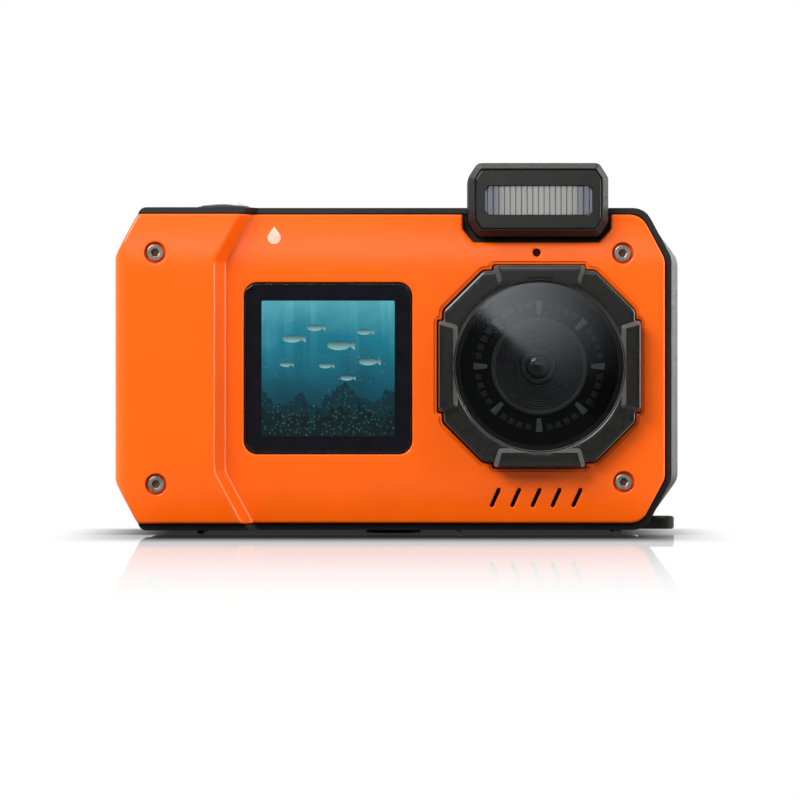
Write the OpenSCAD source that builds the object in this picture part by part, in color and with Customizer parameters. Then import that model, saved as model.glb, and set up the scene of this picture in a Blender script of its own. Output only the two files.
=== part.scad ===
// Rugged two-screen compact camera, in millimetres.
// +X is to the right seen from the front, the front faces -Y, +Z is up.
// The origin is the mouth of the tripod socket, on the plane the camera stands on.

/* [Body] */
// Body width between the side walls
body_w = 114.4; // [114:0.1:118]
// Body height between the bottom and top walls
body_h = 66.4; // [66.2:0.1:70]
// Height of the pads under the body
pad_h = 0.8; // [0.4:0.1:1.6]
// Width of a corner's slope
slope_w = 5.4; // [5.0:0.1:6.0]
// Height of a corner's slope
slope_h = 10.25; // [9.8:0.05:10.4]
// Width of the black rim that shows round the front cover
rim_w = 1.4; // [1.0:0.1:1.6]
// How far the rear case flares out on the lens side
flare = 2.1; // [0.5:0.1:2.6]

/* [Front cover] */
// How far the grip stands out from the front face
grip_out = 4.0; // [3.0:0.1:4.4]
// Right edge of the grip at mid height
grip_edge_x = -36.8; // [-38:0.1:-35]
// Side of the square front window
front_window_w = 34.3; // [33:0.1:35]
// Radius of a cover screw's head
cover_head_r = 1.65; // [1.4:0.05:1.9]

/* [Lens port] */
// Half the width of the octagonal frame
frame_half = 19.6; // [19.2:0.1:20]
// Radius of the port glass
glass_r = 17.5; // [17:0.1:17.8]
// Number of rings in the ribbed cone
cone_rings = 11; // [8:1:18]

/* [Controls] */
// Radius of the shutter button
shutter_r = 6.2; // [5.8:0.1:6.4]
// Radius of a round rear key
key_r = 3.0; // [2.4:0.1:3.4]
// How far the rear keys stand out
key_out = 1.1; // [0.8:0.1:1.6]

/* [Tripod socket] */
// Radius of the socket, a quarter-inch thread's nominal size
socket_r = 3.175; // [3.175:0.001:3.2]
// Depth of the socket
socket_depth = 5.5; // [5:0.1:6]

/* [Hidden] */
$fn = 64;
eps = 0.02;
half_w = body_w / 2;
z_low = pad_h;
z_top = pad_h + body_h;
z_mid = (z_low + z_top) / 2;

// Depth planes, from the front
face_y = -14;
grip_y = face_y - grip_out;
cover_t = 2.4;
case_t = 2.0;
rim_back = 1.2;
floor_y = face_y + cover_t;
wall_y = floor_y + case_t;
part_y = -6;
rear_in_y = 14.5;
rear_y = 16.5;
wall = 2.2;
board_y = 9.6;
board_t = 1.0;
skirt_y = -11;
skirt_t = 1.8;
flare_y = 2;
rear_bevel = 2.2;
gasket_h = 0.6;

// Main positions, as [x, z]
lens_at = [29.9, 34.5];
front_window_at = [-13.5, 34.1];
pad_at = [-34.5, 34];
rocker_at = [-34.5, 59.5];
mic_at = [29.4, 57.9];
grip_screws = [[-48.9, 57.8], [-48.7, 10.3]];
face_screws = [[47.1, 57.8], [47.3, 10.7]];
case_screws_at = [[-49, 5.2], [49, 5.2], [-49, 62.8], [49, 62.8]];
round_keys = [[-44.5, 50], [-24.5, 50], [-44.5, 18], [-24.5, 18]];

// Top controls, as [x, y]
shutter_at = [-36, 2.5];
power_at = [-13, 2.5];

// ---- Points ----

function unit(v) = v / norm(v);
function wrap(d) = d > 180 ? d - 360 : d < -180 ? d + 360 : d;

function corner(a, p, b, r, n) = r <= 0 ? [p] :
    let(u = unit(a - p), v = unit(b - p), half = acos(u * v) / 2)
    let(c = p + unit(u + v) * (r / sin(half)))
    let(s = p + u * (r / tan(half)), e = p + v * (r / tan(half)))
    let(a0 = atan2(s[1] - c[1], s[0] - c[0]), a1 = atan2(e[1] - c[1], e[0] - c[0]))
    let(d = wrap(a1 - a0))
    [for (i = [0 : n]) c + r * [cos(a0 + d * i / n), sin(a0 + d * i / n)]];

// A polygon with arcs of radius r at its corners, r being one number or one per corner
function rounded(p, r, n = 4) = let(m = len(p))
    [for (i = [0 : m - 1]) each corner(p[(i + m - 1) % m], p[i], p[(i + 1) % m], is_list(r) ? r[i] : r, n)];

// An anticlockwise polygon moved in by d on every side
function inset(p, d) = let(m = len(p))
    [for (i = [0 : m - 1])
        let(u = unit(p[i] - p[(i + m - 1) % m]), v = unit(p[(i + 1) % m] - p[i]))
        let(k = [-u[1], u[0]], l = [-v[1], v[0]])
        p[i] + (k + l) * d / (1 + k * l)];

function rect(c, w, h) = [c + [-w, -h] / 2, c + [w, -h] / 2, c + [w, h] / 2, c + [-w, h] / 2];
function box2(a, b) = [a, [b[0], a[1]], b, [a[0], b[1]]];

// An octagon of half sizes h with its corners cut by s
function octagon(c, h, s) = [c + [-h[0], -h[1] + s[1]], c + [-h[0] + s[0], -h[1]],
    c + [h[0] - s[0], -h[1]], c + [h[0], -h[1] + s[1]], c + [h[0], h[1] - s[1]],
    c + [h[0] - s[0], h[1]], c + [-h[0] + s[0], h[1]], c + [-h[0], h[1] - s[1]]];

body_c = [0, z_mid];
body8 = octagon(body_c, [half_w, body_h / 2], [slope_w, slope_h]);
body_points = rounded(body8, [4, 1.6, 4, 4, 4, 4, 1.6, 4]);
back8 = [for (i = [0 : 7]) body8[i] + (i == 3 || i == 4 ? [flare, 0] : [0, 0])];
back_points = rounded(back8, 4);
inner_points = rounded(inset(body8, wall), 2.5);
in8 = inset(body8, rim_w);
slope_x = slope_w / slope_h;
cover8 = [body8[0], [-half_w + (slope_h - rim_w) * slope_x, in8[2][1]], in8[2], in8[3], in8[4],
    in8[5], [-half_w + (slope_h - rim_w) * slope_x, in8[5][1]], body8[7]];
cover_points = rounded(cover8, 4);
cover_gap = 0.25;
recess8 = [body8[0] + [-9, 0], body8[1] + [-9, in8[2][1] - z_low - cover_gap],
    inset(body8, rim_w - cover_gap)[2], inset(body8, rim_w - cover_gap)[3],
    inset(body8, rim_w - cover_gap)[4], inset(body8, rim_w - cover_gap)[5],
    body8[6] + [-9, in8[5][1] - z_top + cover_gap], body8[7] + [-9, 0]];
recess_points = rounded(recess8, [0, 0, 4, 4, 4, 4, 0, 0]);

// ---- Solids ----

module prism_y(points, y0, y1) {
    translate([0, y1, 0]) rotate([90, 0, 0]) linear_extrude(height = y1 - y0) polygon(points);
}

module prism_x(points, x0, x1) {
    translate([x0, 0, 0]) rotate([90, 0, 90]) linear_extrude(height = x1 - x0) polygon(points);
}

module prism_z(points, z0, z1) {
    translate([0, 0, z0]) linear_extrude(height = z1 - z0) polygon(points);
}

// A round bar along Y, at = [x, z]
module bar_y(at, r, y0, y1) {
    translate([at[0], y1, at[1]]) rotate([90, 0, 0]) cylinder(r = r, h = y1 - y0);
}

// A round bar along Z, at = [x, y]
module bar_z(at, r, z0, z1) {
    translate([at[0], at[1], z0]) cylinder(r = r, h = z1 - z0);
}

// A box from its low corner to its high corner
module block(low, high) {
    translate(low) cube(high - low);
}

// A solid lofted through outlines of equal length, each at its own y
module lofted(outlines, ys) {
    m = len(outlines[0]);
    last = len(ys) - 1;
    all_points = [for (k = [0 : last], q = outlines[k]) [q[0], ys[k], q[1]]];
    caps = [[for (i = [m - 1 : -1 : 0]) i], [for (i = [0 : m - 1]) last * m + i]];
    sides = [for (k = [0 : last - 1], i = [0 : m - 1])
        let(a = k * m + i, b = k * m + (i + 1) % m)
        each [[a, b, b + m], [a, b + m, a + m]]];
    polyhedron(points = all_points, faces = concat(caps, sides));
}

// A slab whose front edge, at y0, is bevelled; the bevel is run deep along Y
module bevelled(points, y0, y1, bevel, run = 0) {
    lofted([inset(points, bevel), points, points], [y0, y0 + (run > 0 ? run : bevel), y1]);
}

// The same, bevelled at its rear edge, y1
module bevelled_rear(points, y0, y1, bevel) {
    mirror([0, 1, 0]) bevelled(points, -y1, -y0, bevel);
}

// A turned shape about the Y axis at [x, z], its profile as [radius, y]
module turned_y(at, profile) {
    translate([at[0], 0, at[1]]) rotate([-90, 0, 0]) rotate_extrude() polygon(profile);
}

// A turned shape about the Z axis at [x, y], its profile as [radius, z]
module turned_z(at, profile) {
    translate([at[0], at[1], 0]) rotate_extrude() polygon(profile);
}

// Side profile of the front, which leans back towards its top and bottom
function crown(y) = [[part_y + eps, -4], [part_y + eps, z_top + 6], [y + 1.9, z_top + 2],
    [y + 1.1, z_top - 1.4], [y + 0.3, z_top - 7.8], [y, z_top - 12.2], [y, z_low + 12.2],
    [y + 0.3, z_low + 7.8], [y + 1.1, z_low + 1.4], [y + 1.9, z_low - 2]];

// The space to the right of the grip's step, wider at the front
module grip_cut(back) {
    step_slope = 0.55;
    y_far = -26;
    y_near = -4;
    x_far = grip_edge_x + step_slope * (y_far - grip_y - back);
    x_near = grip_edge_x + step_slope * (y_near - grip_y - back);
    up = z_top + 12;
    low = z_low - 12;
    bend_up = z_top - 11.2;
    bend_low = z_low + 12.2;
    function outline(x) = [[x, bend_low], [x + (bend_low - low) * slope_x, low], [20, low], [20, up],
        [x + (up - bend_up) * slope_x, up], [x, bend_up]];
    m = 6;
    corners = concat([for (q = outline(x_far)) [q[0], y_far, q[1]]],
        [for (q = outline(x_near)) [q[0], y_near, q[1]]]);
    polyhedron(points = corners, faces = concat([[for (i = [m - 1 : -1 : 0]) i]],
        [for (i = [0 : m - 1]) [i, (i + 1) % m, m + (i + 1) % m, m + i]],
        [[for (i = [0 : m - 1]) m + i]]));
}

// Everything behind the front's surface once that is moved back, from x = left rightwards
module front_form(back, left, round) {
    intersection() {
        union() {
            prism_x(crown(face_y + back), left, half_w + 4);
            difference() {
                prism_x(crown(grip_y + back), left, -20);
                grip_cut(back);
            }
        }
        prism_z(rounded([[left, grip_y + back], [half_w + 4, grip_y + back], [half_w + 4, 0], [left, 0]],
            [round, 0, 0, 0], 5), -6, z_top + 8);
    }
}

// ---- Front ----

flash_c = [29.7, 68.75];
flash_half = [14.4, 7.55];
flash_cut = [1.9, 3.0];
flash8 = octagon(flash_c, flash_half, flash_cut);
flash_points = rounded(flash8, 1.5, 3);
flash_front_y = -17.4;
flash_rear_y = 3.0;
flash_bevel = 1.2;
flash_bevel_run = 2.6;
flash_lip = 0.25;
flash_wall = 1.9;
flash_pit = rounded([[14.2, 80], [14.2, 62.8], [16.4, 60.0], [42.2, 60.0], [44.7, 62.8], [44.7, 80]],
    [0, 1, 1, 1, 1, 0]);

function frame_tab(a, grow) = let(i = 16.8 - grow, o = frame_half + 1.1 + grow)
    [for (q = [[-8.4 - grow, i], [8.4 + grow, i], [9.55 + grow, o], [-9.55 - grow, o]])
        lens_at + [q[0] * cos(a) - q[1] * sin(a), q[0] * sin(a) + q[1] * cos(a)]];
frame_points = rounded(octagon(lens_at, [frame_half, frame_half], [8.2, 8.2]), 1.6, 3);
frame_front_y = -17.2;
tab_front_y = -18.6;
seat_y = -15.0;
frame_gap = 0.35;

module frame_hole() {
    hole_half = frame_half + frame_gap;
    prism_y(rounded(octagon(lens_at, [hole_half, hole_half], [8.35, 8.35]), 1.7, 3), -30, 0);
    for (a = [0, 90, 180, 270]) prism_y(frame_tab(a, frame_gap), -30, 0);
}

speaker_low = [19.0, 3.6];
speaker_high = [39.6, 11.2];
slot_x = [20.9, 25.1, 29.3, 33.4, 37.7];
module speaker_slots(y0, y1) {
    slot_r = 0.41;
    slot_half = 1.74;
    for (x = slot_x) translate([x, 0, 7.5]) rotate([0, 24, 0]) {
        translate([-slot_r, y0, -slot_half]) cube([2 * slot_r, y1 - y0, 2 * slot_half]);
        bar_y([0, -slot_half], slot_r, y0, y1);
        bar_y([0, slot_half], slot_r, y0, y1);
    }
}

head_h = 1.2;
shank_l = 6.0;
seat_back = 1.75;
socket_deep = 0.7;
hex_r = 0.95;
module cover_screw(at, y) {
    difference() {
        union() {
            bar_y(at, cover_head_r, y - head_h, y);
            bar_y(at, 1.0, y, y + shank_l);
        }
        translate([at[0], y - head_h + socket_deep, at[1]]) rotate([90, 0, 0])
            cylinder(r = hex_r, h = 2, $fn = 6);
    }
}

module front_cover() {
    color([0.98, 0.41, 0.09]) difference() {
        intersection() {
            prism_y(cover_points, -20, skirt_y);
            front_form(0, -half_w, 2.8);
        }
        front_form(cover_t, -half_w + skirt_t, 1.2);
        prism_y(rounded(rect(front_window_at, front_window_w + 0.3, 35.3), 2.8), -30, 0);
        frame_hole();
        prism_y(flash_pit, -30, 0);
        bar_y(mic_at, 0.82, -30, 0);
        speaker_slots(-30, 0);
        for (q = grip_screws) {
            bar_y(q, 2.2, -30, grip_y + seat_back);
            bar_y(q, 1.2, -30, 0);
        }
        for (q = face_screws) {
            bar_y(q, 2.2, -30, face_y + seat_back);
            bar_y(q, 1.2, -30, 0);
        }
    }
}

module cover_screws() {
    color([0.75, 0.72, 0.68]) {
        for (q = grip_screws) cover_screw(q, grip_y + seat_back);
        for (q = face_screws) cover_screw(q, face_y + seat_back);
    }
}

module flash_pocket() {
    prism_y(inset(flash8, -0.15), -30, flash_rear_y + 0.2);
}

// The hollow behind the front wall that holds the speaker
module speaker_pocket() {
    prism_y(rounded(box2(speaker_low - [0.2, 0.2], speaker_high + [0.2, 0.2]), 1.6), wall_y, part_y + 1);
}

module case_shafts(r, y0, y1) {
    for (q = case_screws_at) bar_y(q, r, y0, y1);
}

module front_case() {
    color([0.16, 0.15, 0.14]) difference() {
        union() {
            difference() {
                intersection() {
                    prism_y(body_points, -20, part_y);
                    front_form(rim_back, -half_w, 2.4);
                }
                difference() {
                    prism_y(recess_points, -30, skirt_y + 0.1);
                    front_form(cover_t, -half_w + skirt_t, 1.2);
                }
                intersection() {
                    prism_y(inner_points, -20, 0);
                    front_form(cover_t + case_t, -half_w + skirt_t + case_t, 0.6);
                }
            }
            for (q = grip_screws) bar_y(q, 2.4, grip_y + cover_t + 1, part_y - 3);
            for (q = face_screws) bar_y(q, 2.4, floor_y + 1, part_y);
            case_shafts(2.4, floor_y + 1, part_y);
        }
        prism_y(rounded(rect(front_window_at, 31.0, 31.6), 1.5), -30, 0);
        bar_y(lens_at, 10.2, -30, 0);
        turned_y(lens_at, box2([17.4, floor_y - 1], [18.4, floor_y + 0.8]));
        prism_y(rounded(box2(speaker_low + [0.6, 1.6], speaker_high - [0.6, 1.4]), 1), -30, wall_y + 1);
        speaker_pocket();
        bar_y(mic_at, 0.7, -30, 0);
        flash_pocket();
        for (q = grip_screws) bar_y(q, 1.05, -30, grip_y + seat_back + shank_l + 0.4);
        for (q = face_screws) bar_y(q, 1.05, -30, 0);
        case_shafts(1.05, -9.2, 0);
        pads();
    }
}

// ---- Lens port ----

module lens_bezel() {
    color([0.14, 0.135, 0.13]) difference() {
        union() {
            bevelled(frame_points, frame_front_y, floor_y, 0.4);
            for (a = [0, 90, 180, 270]) bevelled(frame_tab(a, 0), tab_front_y, floor_y, 0.45);
        }
        bar_y(lens_at, glass_r + 0.1, -30, seat_y);
        bar_y(lens_at, 16.3, -30, 0);
    }
}

module lens_glass() {
    color([0.2, 0.22, 0.24, 0.3])
        turned_y(lens_at, [[0, -16.9], [glass_r - 0.35, -16.9], [glass_r, -16.55], [glass_r, seat_y],
            [0, seat_y]]);
}

module lens_seal() {
    color([0.1, 0.1, 0.1])
        turned_y(lens_at, box2([17.45, floor_y], [18.35, floor_y + 0.8]));
}

dial_y = -14.6;
module dial_ring() {
    color([0.07, 0.07, 0.07])
        turned_y(lens_at, [[9.95, dial_y], [16.2, dial_y], [16.2, floor_y], [9.95, floor_y]]);
}

module dial_marks() {
    color([0.4, 0.4, 0.4]) for (a = [0 : 45 : 315])
        prism_y([for (q = [[-0.4, 10.5], [0.4, 10.5], [0.65, 13.7], [-0.65, 13.7]])
            lens_at + [q[0] * cos(a) - q[1] * sin(a), q[0] * sin(a) + q[1] * cos(a)]],
            dial_y - 0.25, dial_y);
}

cone_front_y = -14.7;
cone_out_r = 9.4;
cone_in_r = 3.75;
cone_depth = 5.3;
// Inside of the cone, one step and one groove to a ring, as [radius, y]
cone_steps = [for (i = [0 : cone_rings - 1])
    let(pr = (cone_out_r - 0.2 - cone_in_r) / cone_rings, py = cone_depth / cone_rings)
    let(r = cone_out_r - 0.2 - pr * i, y = cone_front_y + 0.25 + py * i)
    each [[r, y], [r - pr * 0.55, y + py * 0.35], [r - pr * 0.55, y + py]]];

module lens_cone() {
    color([0.1, 0.1, 0.1]) turned_y(lens_at, concat([[9.85, cone_front_y], [cone_out_r, cone_front_y]],
        cone_steps, [[cone_in_r, cone_front_y + 0.25 + cone_depth], [cone_in_r, -8.5], [13, -8.5],
        [13, wall_y], [9.85, wall_y]]));
}

iris_r = 1.15;
module lens_barrel() {
    color([0.12, 0.12, 0.12]) turned_y(lens_at, [[2.6, -9.6], [3.6, -9.6], [3.6, -8.4], [9, -8.4], [9, 1.2],
        [3.5, 1.2], [3.5, -7.0], [iris_r, -7.0], [iris_r, -7.3], [2.6, -7.3]]);
}

module front_element() {
    color([0.3, 0.35, 0.4, 0.4]) turned_y(lens_at, concat([[0, -7.3]],
        [for (i = [0 : 8]) [2.55 * sin(11.25 * i), -8.3 - 1.0 * cos(11.25 * i)]], [[2.55, -7.3]]));
}

module rear_element() {
    color([0.3, 0.35, 0.4, 0.4]) turned_y(lens_at, [[0, -6.2], [1.8, -5.9], [3.3, -5.0], [3.5, -5.0],
        [3.5, -3.4], [3.3, -3.4], [1.8, -2.7], [0, -2.4]]);
}

module image_sensor() {
    color([0.25, 0.3, 0.3]) prism_y(rect(lens_at, 9.2, 7.2), 1.2, 2.4);
}

module sensor_board() {
    color([0.1, 0.35, 0.2]) difference() {
        prism_y(rounded(rect(lens_at, 20, 17), 1.5), 2.4, 3.2);
        for (s = [-1, 1]) bar_y(lens_at + [8.2 * s, 0], 0.9, 0, 6);
    }
}

// ---- Screens ----

module front_window() {
    color([0.1, 0.1, 0.12, 0.5])
        bevelled(rounded(rect(front_window_at, front_window_w, 35.0), 2.7), face_y + 0.1, floor_y, 0.2);
}

module front_panel() {
    color([0.1, 0.5, 0.55])
        prism_y(rounded(rect(front_window_at, 30.4, 31.0), 1.4), floor_y, floor_y + 2.2);
}

rear_window_c = [21, 34];
module rear_window() {
    color([0.1, 0.1, 0.12, 0.5])
        bevelled_rear(rounded(rect(rear_window_c, 66, 50), 3), rear_y - 1.2, rear_y, 0.2);
}

module rear_panel() {
    color([0.06, 0.07, 0.09]) prism_y(rect(rear_window_c, 61, 47), 12.5, rear_in_y);
}

module display_frame() {
    color([0.7, 0.7, 0.72]) difference() {
        prism_y(rounded(rect(rear_window_c, 61, 48), 1), board_y + board_t, 12.5);
        prism_y(rounded(rect(rear_window_c, 55, 42), 1), 0, 12.0);
        prism_y(rounded(rect(rear_window_c, 40, 28), 3), 0, 14);
    }
}

// ---- Flash ----

plate_inset = flash_bevel + flash_lip + 0.1;
plate_t = 1.6;
plate_points = rounded(inset(flash8, plate_inset), 0.5, 2);
window_at = [29.7, 68.55];
flash_window = rounded(octagon(window_at, [11, 2.95], [0.9, 0.9]), 0.3, 1);

module flash_housing() {
    color([0.17, 0.16, 0.15]) difference() {
        bevelled(flash_points, flash_front_y, flash_rear_y, flash_bevel, flash_bevel_run);
        prism_y(rounded(inset(flash8, plate_inset - 0.1), 0.5, 2), -30, flash_front_y + plate_t);
        prism_y(inset(flash8, flash_wall), -30, flash_rear_y - 1.6);
        // Opening for the flash tube's wires
        block([20, -9, 60], [39, -1, 64]);
    }
}

module flash_plate() {
    color([0.15, 0.145, 0.14]) difference() {
        bevelled(plate_points, flash_front_y, flash_front_y + plate_t, 0.15);
        prism_y(inset(flash_window, -0.1), -30, 0);
    }
}

rib_pitch = 1.16;
ribs_each_side = 9;
rib_half = 0.3;
rib_deep = 0.65;
module flash_lens() {
    color([0.75, 0.77, 0.8, 0.7]) difference() {
        union() {
            prism_y(flash_window, flash_front_y + 0.35, flash_front_y + plate_t);
            prism_y(rect(window_at, 23.4, 7.3), flash_front_y + plate_t, flash_front_y + plate_t + 0.8);
        }
        for (i = [-ribs_each_side : ribs_each_side]) let(x = window_at[0] + i * rib_pitch)
            prism_z([[x - rib_half, flash_front_y], [x, flash_front_y + rib_deep],
                [x + rib_half, flash_front_y]], 60, 80);
    }
}

tube_y = -12.2;
module flash_reflector() {
    color([0.85, 0.85, 0.87]) difference() {
        prism_x([[-14.8, 65.2], [-14.8, 71.9], [-11.2, 71.9], [-9.6, 70.2], [-9.6, 66.9], [-11.2, 65.2]],
            19, 40.4);
        prism_x([[-15, 65.6], [-15, 71.5], [-11.6, 71.5], [-10.1, 70.0], [-10.1, 67.1], [-11.6, 65.6]],
            19.4, 40);
        translate([18, tube_y, window_at[1]]) rotate([0, 90, 0]) cylinder(r = 1.6, h = 24);
    }
}

module flash_tube() {
    color([0.8, 0.85, 0.9, 0.5]) translate([18.2, tube_y, window_at[1]]) rotate([0, 90, 0])
        cylinder(r = 1.25, h = 23);
}

module flash_capacitor() {
    color([0.1, 0.12, 0.3]) turned_z([-46, -9.7], [[0, 19], [3.5, 19], [3.9, 19.4], [3.9, 21.5],
        [3.7, 21.8], [3.9, 22.1], [3.9, 47.6], [3.5, 48], [0, 48]]);
}

// ---- Rear case ----

door_z = [13.5, 54.5];
door_front_y = -4.5;
door_rear_y = 15.1;
door_in_x = -half_w + 2.4;
frame_face_x = -half_w + 3.1;
frame_in_x = -half_w + 5.0;
hinge_at = [-half_w + 1.5, 13.3];
hinge_r = 1.5;
pin_r = 0.6;
pin_hole_r = 0.65;
knuckle_z = [22, 46];
open_y = [-3.0, 11.0];
open_z = [16.5, 51.5];
tongue_x = [-56.2, -55.4];
tongue_z = [31.8, 36.2];
latch_travel = 1.0;
strap_at = [56.6, 10.4];
strap_r = 1.2;
strap_z = [0.5, 3.2];
lug_end_x = 59.0;
lug_half = 2.6;
boss_r = 5.8;
insert_r = 4.5;
insert_h = 7.0;

// The pads under the body, sunk into it by pad_sunk
pad_sunk = 0.6;
module pads() {
    for (x = [-39.8, 46.1]) {
        block([x - 0.7, -11, 0], [x + 0.7, -7, z_low + pad_sunk]);
        block([x - 0.7, 6, 0], [x + 0.7, 13, z_low + pad_sunk]);
    }
    block([13.1, -11, 0], [13.9, -7, z_low + pad_sunk]);
}

// One of the four direction keys, between radii r0 and r1, as a shape in the key plane
module sector_shape(a, r0, r1, gap) {
    difference() {
        intersection() {
            circle(r = r1);
            rotate(a) polygon([[gap * 1.414, 0], [14 + gap * 1.414, -14], [14 + gap * 1.414, 14]]);
        }
        circle(r = r0);
    }
}

module sector_prism(a, r0, r1, gap, y0, y1) {
    translate([pad_at[0], y1, pad_at[1]]) rotate([90, 0, 0]) linear_extrude(height = y1 - y0)
        sector_shape(a, r0, r1, gap);
}

flange_y = [13.6, 14.2];
flange_w = 0.7;
key_gap = 0.3;
pad_r0 = 4.9;
pad_r1 = 10.5;
ok_r = 4.0;

module key_holes() {
    for (q = round_keys) bar_y(q, key_r + key_gap, rear_in_y - 1, rear_y + 1);
    bar_y(pad_at, ok_r + key_gap, rear_in_y - 1, rear_y + 1);
    for (a = [0, 90, 180, 270])
        sector_prism(a, pad_r0 - key_gap + eps, pad_r1 + key_gap, 0.55 - key_gap, rear_in_y - 1, rear_y + 1);
    prism_y(rounded(rect(rocker_at, 16.4, 6.0), 1.4), rear_in_y - 1, rear_y + 1);
}

module rocker_lugs() {
    for (s = [-1, 1]) translate([rocker_at[0] - 2.0, 11.6, rocker_at[1] + s * 4.3 - 1.1])
        cube([4.0, rear_in_y - 11.6 + eps, 2.2]);
}

module button_bosses() {
    bar_z(shutter_at, 7.6, 61.5, z_top - 1);
    bar_z(power_at, 5.8, 61.5, z_top - 1);
}

button_floor_z = z_top - 2.0;
button_seat_z = z_top - 4.2;
stem_hole_r = 1.56;
module button_holes() {
    bar_z(shutter_at, shutter_r + 0.3, button_floor_z, z_top + 5);
    bar_z(shutter_at, 3.3, button_seat_z, z_top);
    bar_z(shutter_at, stem_hole_r, 50, z_top);
    bar_z(shutter_at, 2.6, 50, 62.6);
    bar_z(power_at, 4.5, button_floor_z, z_top + 5);
    bar_z(power_at, stem_hole_r, 50, z_top);
}

module door_recess() {
    block([-half_w - 1, door_front_y, door_z[0]], [frame_face_x, door_rear_y, door_z[1]]);
    block([-half_w - 1, open_y[0], open_z[0]], [frame_in_x + 1, open_y[1], open_z[1]]);
    bar_z(hinge_at, hinge_r + 0.3, knuckle_z[0] - 0.3, knuckle_z[1] + 0.3);
    block([tongue_x[0] - 0.3, door_front_y - latch_travel + 0.35, tongue_z[0] - 0.6],
        [tongue_x[1] + 0.1, door_front_y + eps, tongue_z[1] + 0.6]);
}

module case_knuckle(z0, z1) {
    bar_z(hinge_at, hinge_r, z0, z1);
    block([hinge_at[0], hinge_at[1] - 1.1, z0], [frame_face_x + eps, hinge_at[1] + 1.1, z1]);
}

module strap_lug() {
    intersection() {
        prism_z(rounded([[50, strap_at[1] - lug_half], [lug_end_x, strap_at[1] - lug_half],
            [lug_end_x, strap_at[1] + lug_half], [50, strap_at[1] + lug_half]], [0, 2.0, 2.0, 0], 5),
            strap_z[0], strap_z[1]);
        prism_y(rounded(box2([50, strap_z[0]], [lug_end_x, strap_z[1]]), [0, 0.6, 0.6, 0]), 0, 20);
        block([51.6, 0, 0], [60, 20, 10]);
    }
    bar_z(strap_at - [1.6, 0], 3.3, 2.6, 9.6);
}

module rear_case() {
    color([0.16, 0.15, 0.14]) difference() {
        union() {
            difference() {
                union() {
                    difference() {
                        lofted([body_points, back_points, back_points, inset(back_points, rear_bevel)],
                            [part_y, flare_y, rear_y - rear_bevel, rear_y]);
                        prism_y(inner_points, part_y - 1, rear_in_y);
                    }
                    block([-half_w + 0.6, part_y, 11.6], [frame_in_x, rear_in_y + 0.5, 56.4]);
                }
                door_recess();
            }
            case_knuckle(door_z[0] - 0.1, knuckle_z[0] - 0.3);
            case_knuckle(knuckle_z[1] + 0.3, door_z[1] + 0.1);
            bar_z([0, 0], boss_r, 0, 8.2);
            intersection() {
                button_bosses();
                block([-60, part_y, 55], [0, rear_in_y + 1, z_top]);
            }
            intersection() {
                strap_lug();
                union() {
                    lofted([body_points, back_points, back_points], [part_y, flare_y, rear_y - 1]);
                    block([50, 0, 0], [60, 20, strap_z[1]]);
                }
            }
            case_shafts(2.4, part_y, rear_in_y + 0.5);
            rocker_lugs();
        }
        case_shafts(1.1, part_y - 1, rear_y + 1);
        case_shafts(2.1, rear_y - 1.5, rear_y + 1);
        case_gasket_ring(0);
        bar_z(hinge_at, pin_hole_r, door_z[0] + 0.3, door_z[1] - 0.3);
        key_holes();
        button_holes();
        flash_pocket();
        prism_y(rounded(rect(rear_window_c, 66.2, 50.2), 3.1), rear_y - 1.2, rear_y + 1);
        prism_y(rounded(rect(rear_window_c, 58.5, 44.5), 1.5), 0, rear_y + 1);
        bar_z([0, 0], insert_r, -1, insert_h);
        pads();
        bar_z(strap_at, strap_r, -1, strap_z[1] + eps);
        bar_z(strap_at, strap_r + 0.9, strap_z[1], 8.0);
        translate([rocker_at[0], 13.2, rocker_at[1] - 5.5]) cylinder(r = 0.72, h = 11);
        prism_y(rect([rocker_at[0], rocker_at[1]], 16.4, 6.0), 8, rear_in_y + 1);
    }
}

module case_gasket_ring(shrink) {
    prism_y_ring(rounded(inset(body8, 0.7 + shrink), 3.4), rounded(inset(body8, 1.5 - shrink), 2.8),
        part_y, part_y + gasket_h);
}

module prism_y_ring(outer, inner, y0, y1) {
    difference() {
        prism_y(outer, y0, y1);
        prism_y(inner, y0 - 1, y1 + 1);
    }
}

module case_gasket() {
    color([0.1, 0.1, 0.1]) difference() {
        case_gasket_ring(0.05);
        flash_pocket();
    }
}

module case_screws() {
    color([0.6, 0.6, 0.6]) for (q = case_screws_at) difference() {
        union() {
            bar_y(q, 1.9, rear_y - 1.5, rear_y - 0.3);
            bar_y(q, 1.0, -8.6, rear_y - 1.5);
        }
        for (a = [0, 90]) translate([q[0], rear_y, q[1]]) rotate([0, a, 0])
            cube([2.4, 1.8, 0.5], center = true);
    }
}

// ---- Controls ----

button_top = z_top + 1.5;
cap_low_z = z_top - 0.6;
stem = [[0, 55.0], [1.2, 55.0], [1.5, 55.3], [1.5, 60.4], [2.3, 60.4], [2.3, 61.0], [1.5, 61.0],
    [1.5, cap_low_z]];
module shutter_button() {
    color([0.19, 0.18, 0.17]) turned_z(shutter_at, concat(stem, [[shutter_r, cap_low_z],
        [shutter_r, button_top - 1.2], [shutter_r - 0.15, button_top - 0.9],
        [shutter_r - 0.5, button_top - 0.6], [shutter_r - 1.1, button_top - 0.32],
        [shutter_r - 2.1, button_top - 0.1], [shutter_r - 3.2, button_top],
        [shutter_r - 3.9, button_top - 0.06], [0, button_top - 0.3]]));
}

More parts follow.
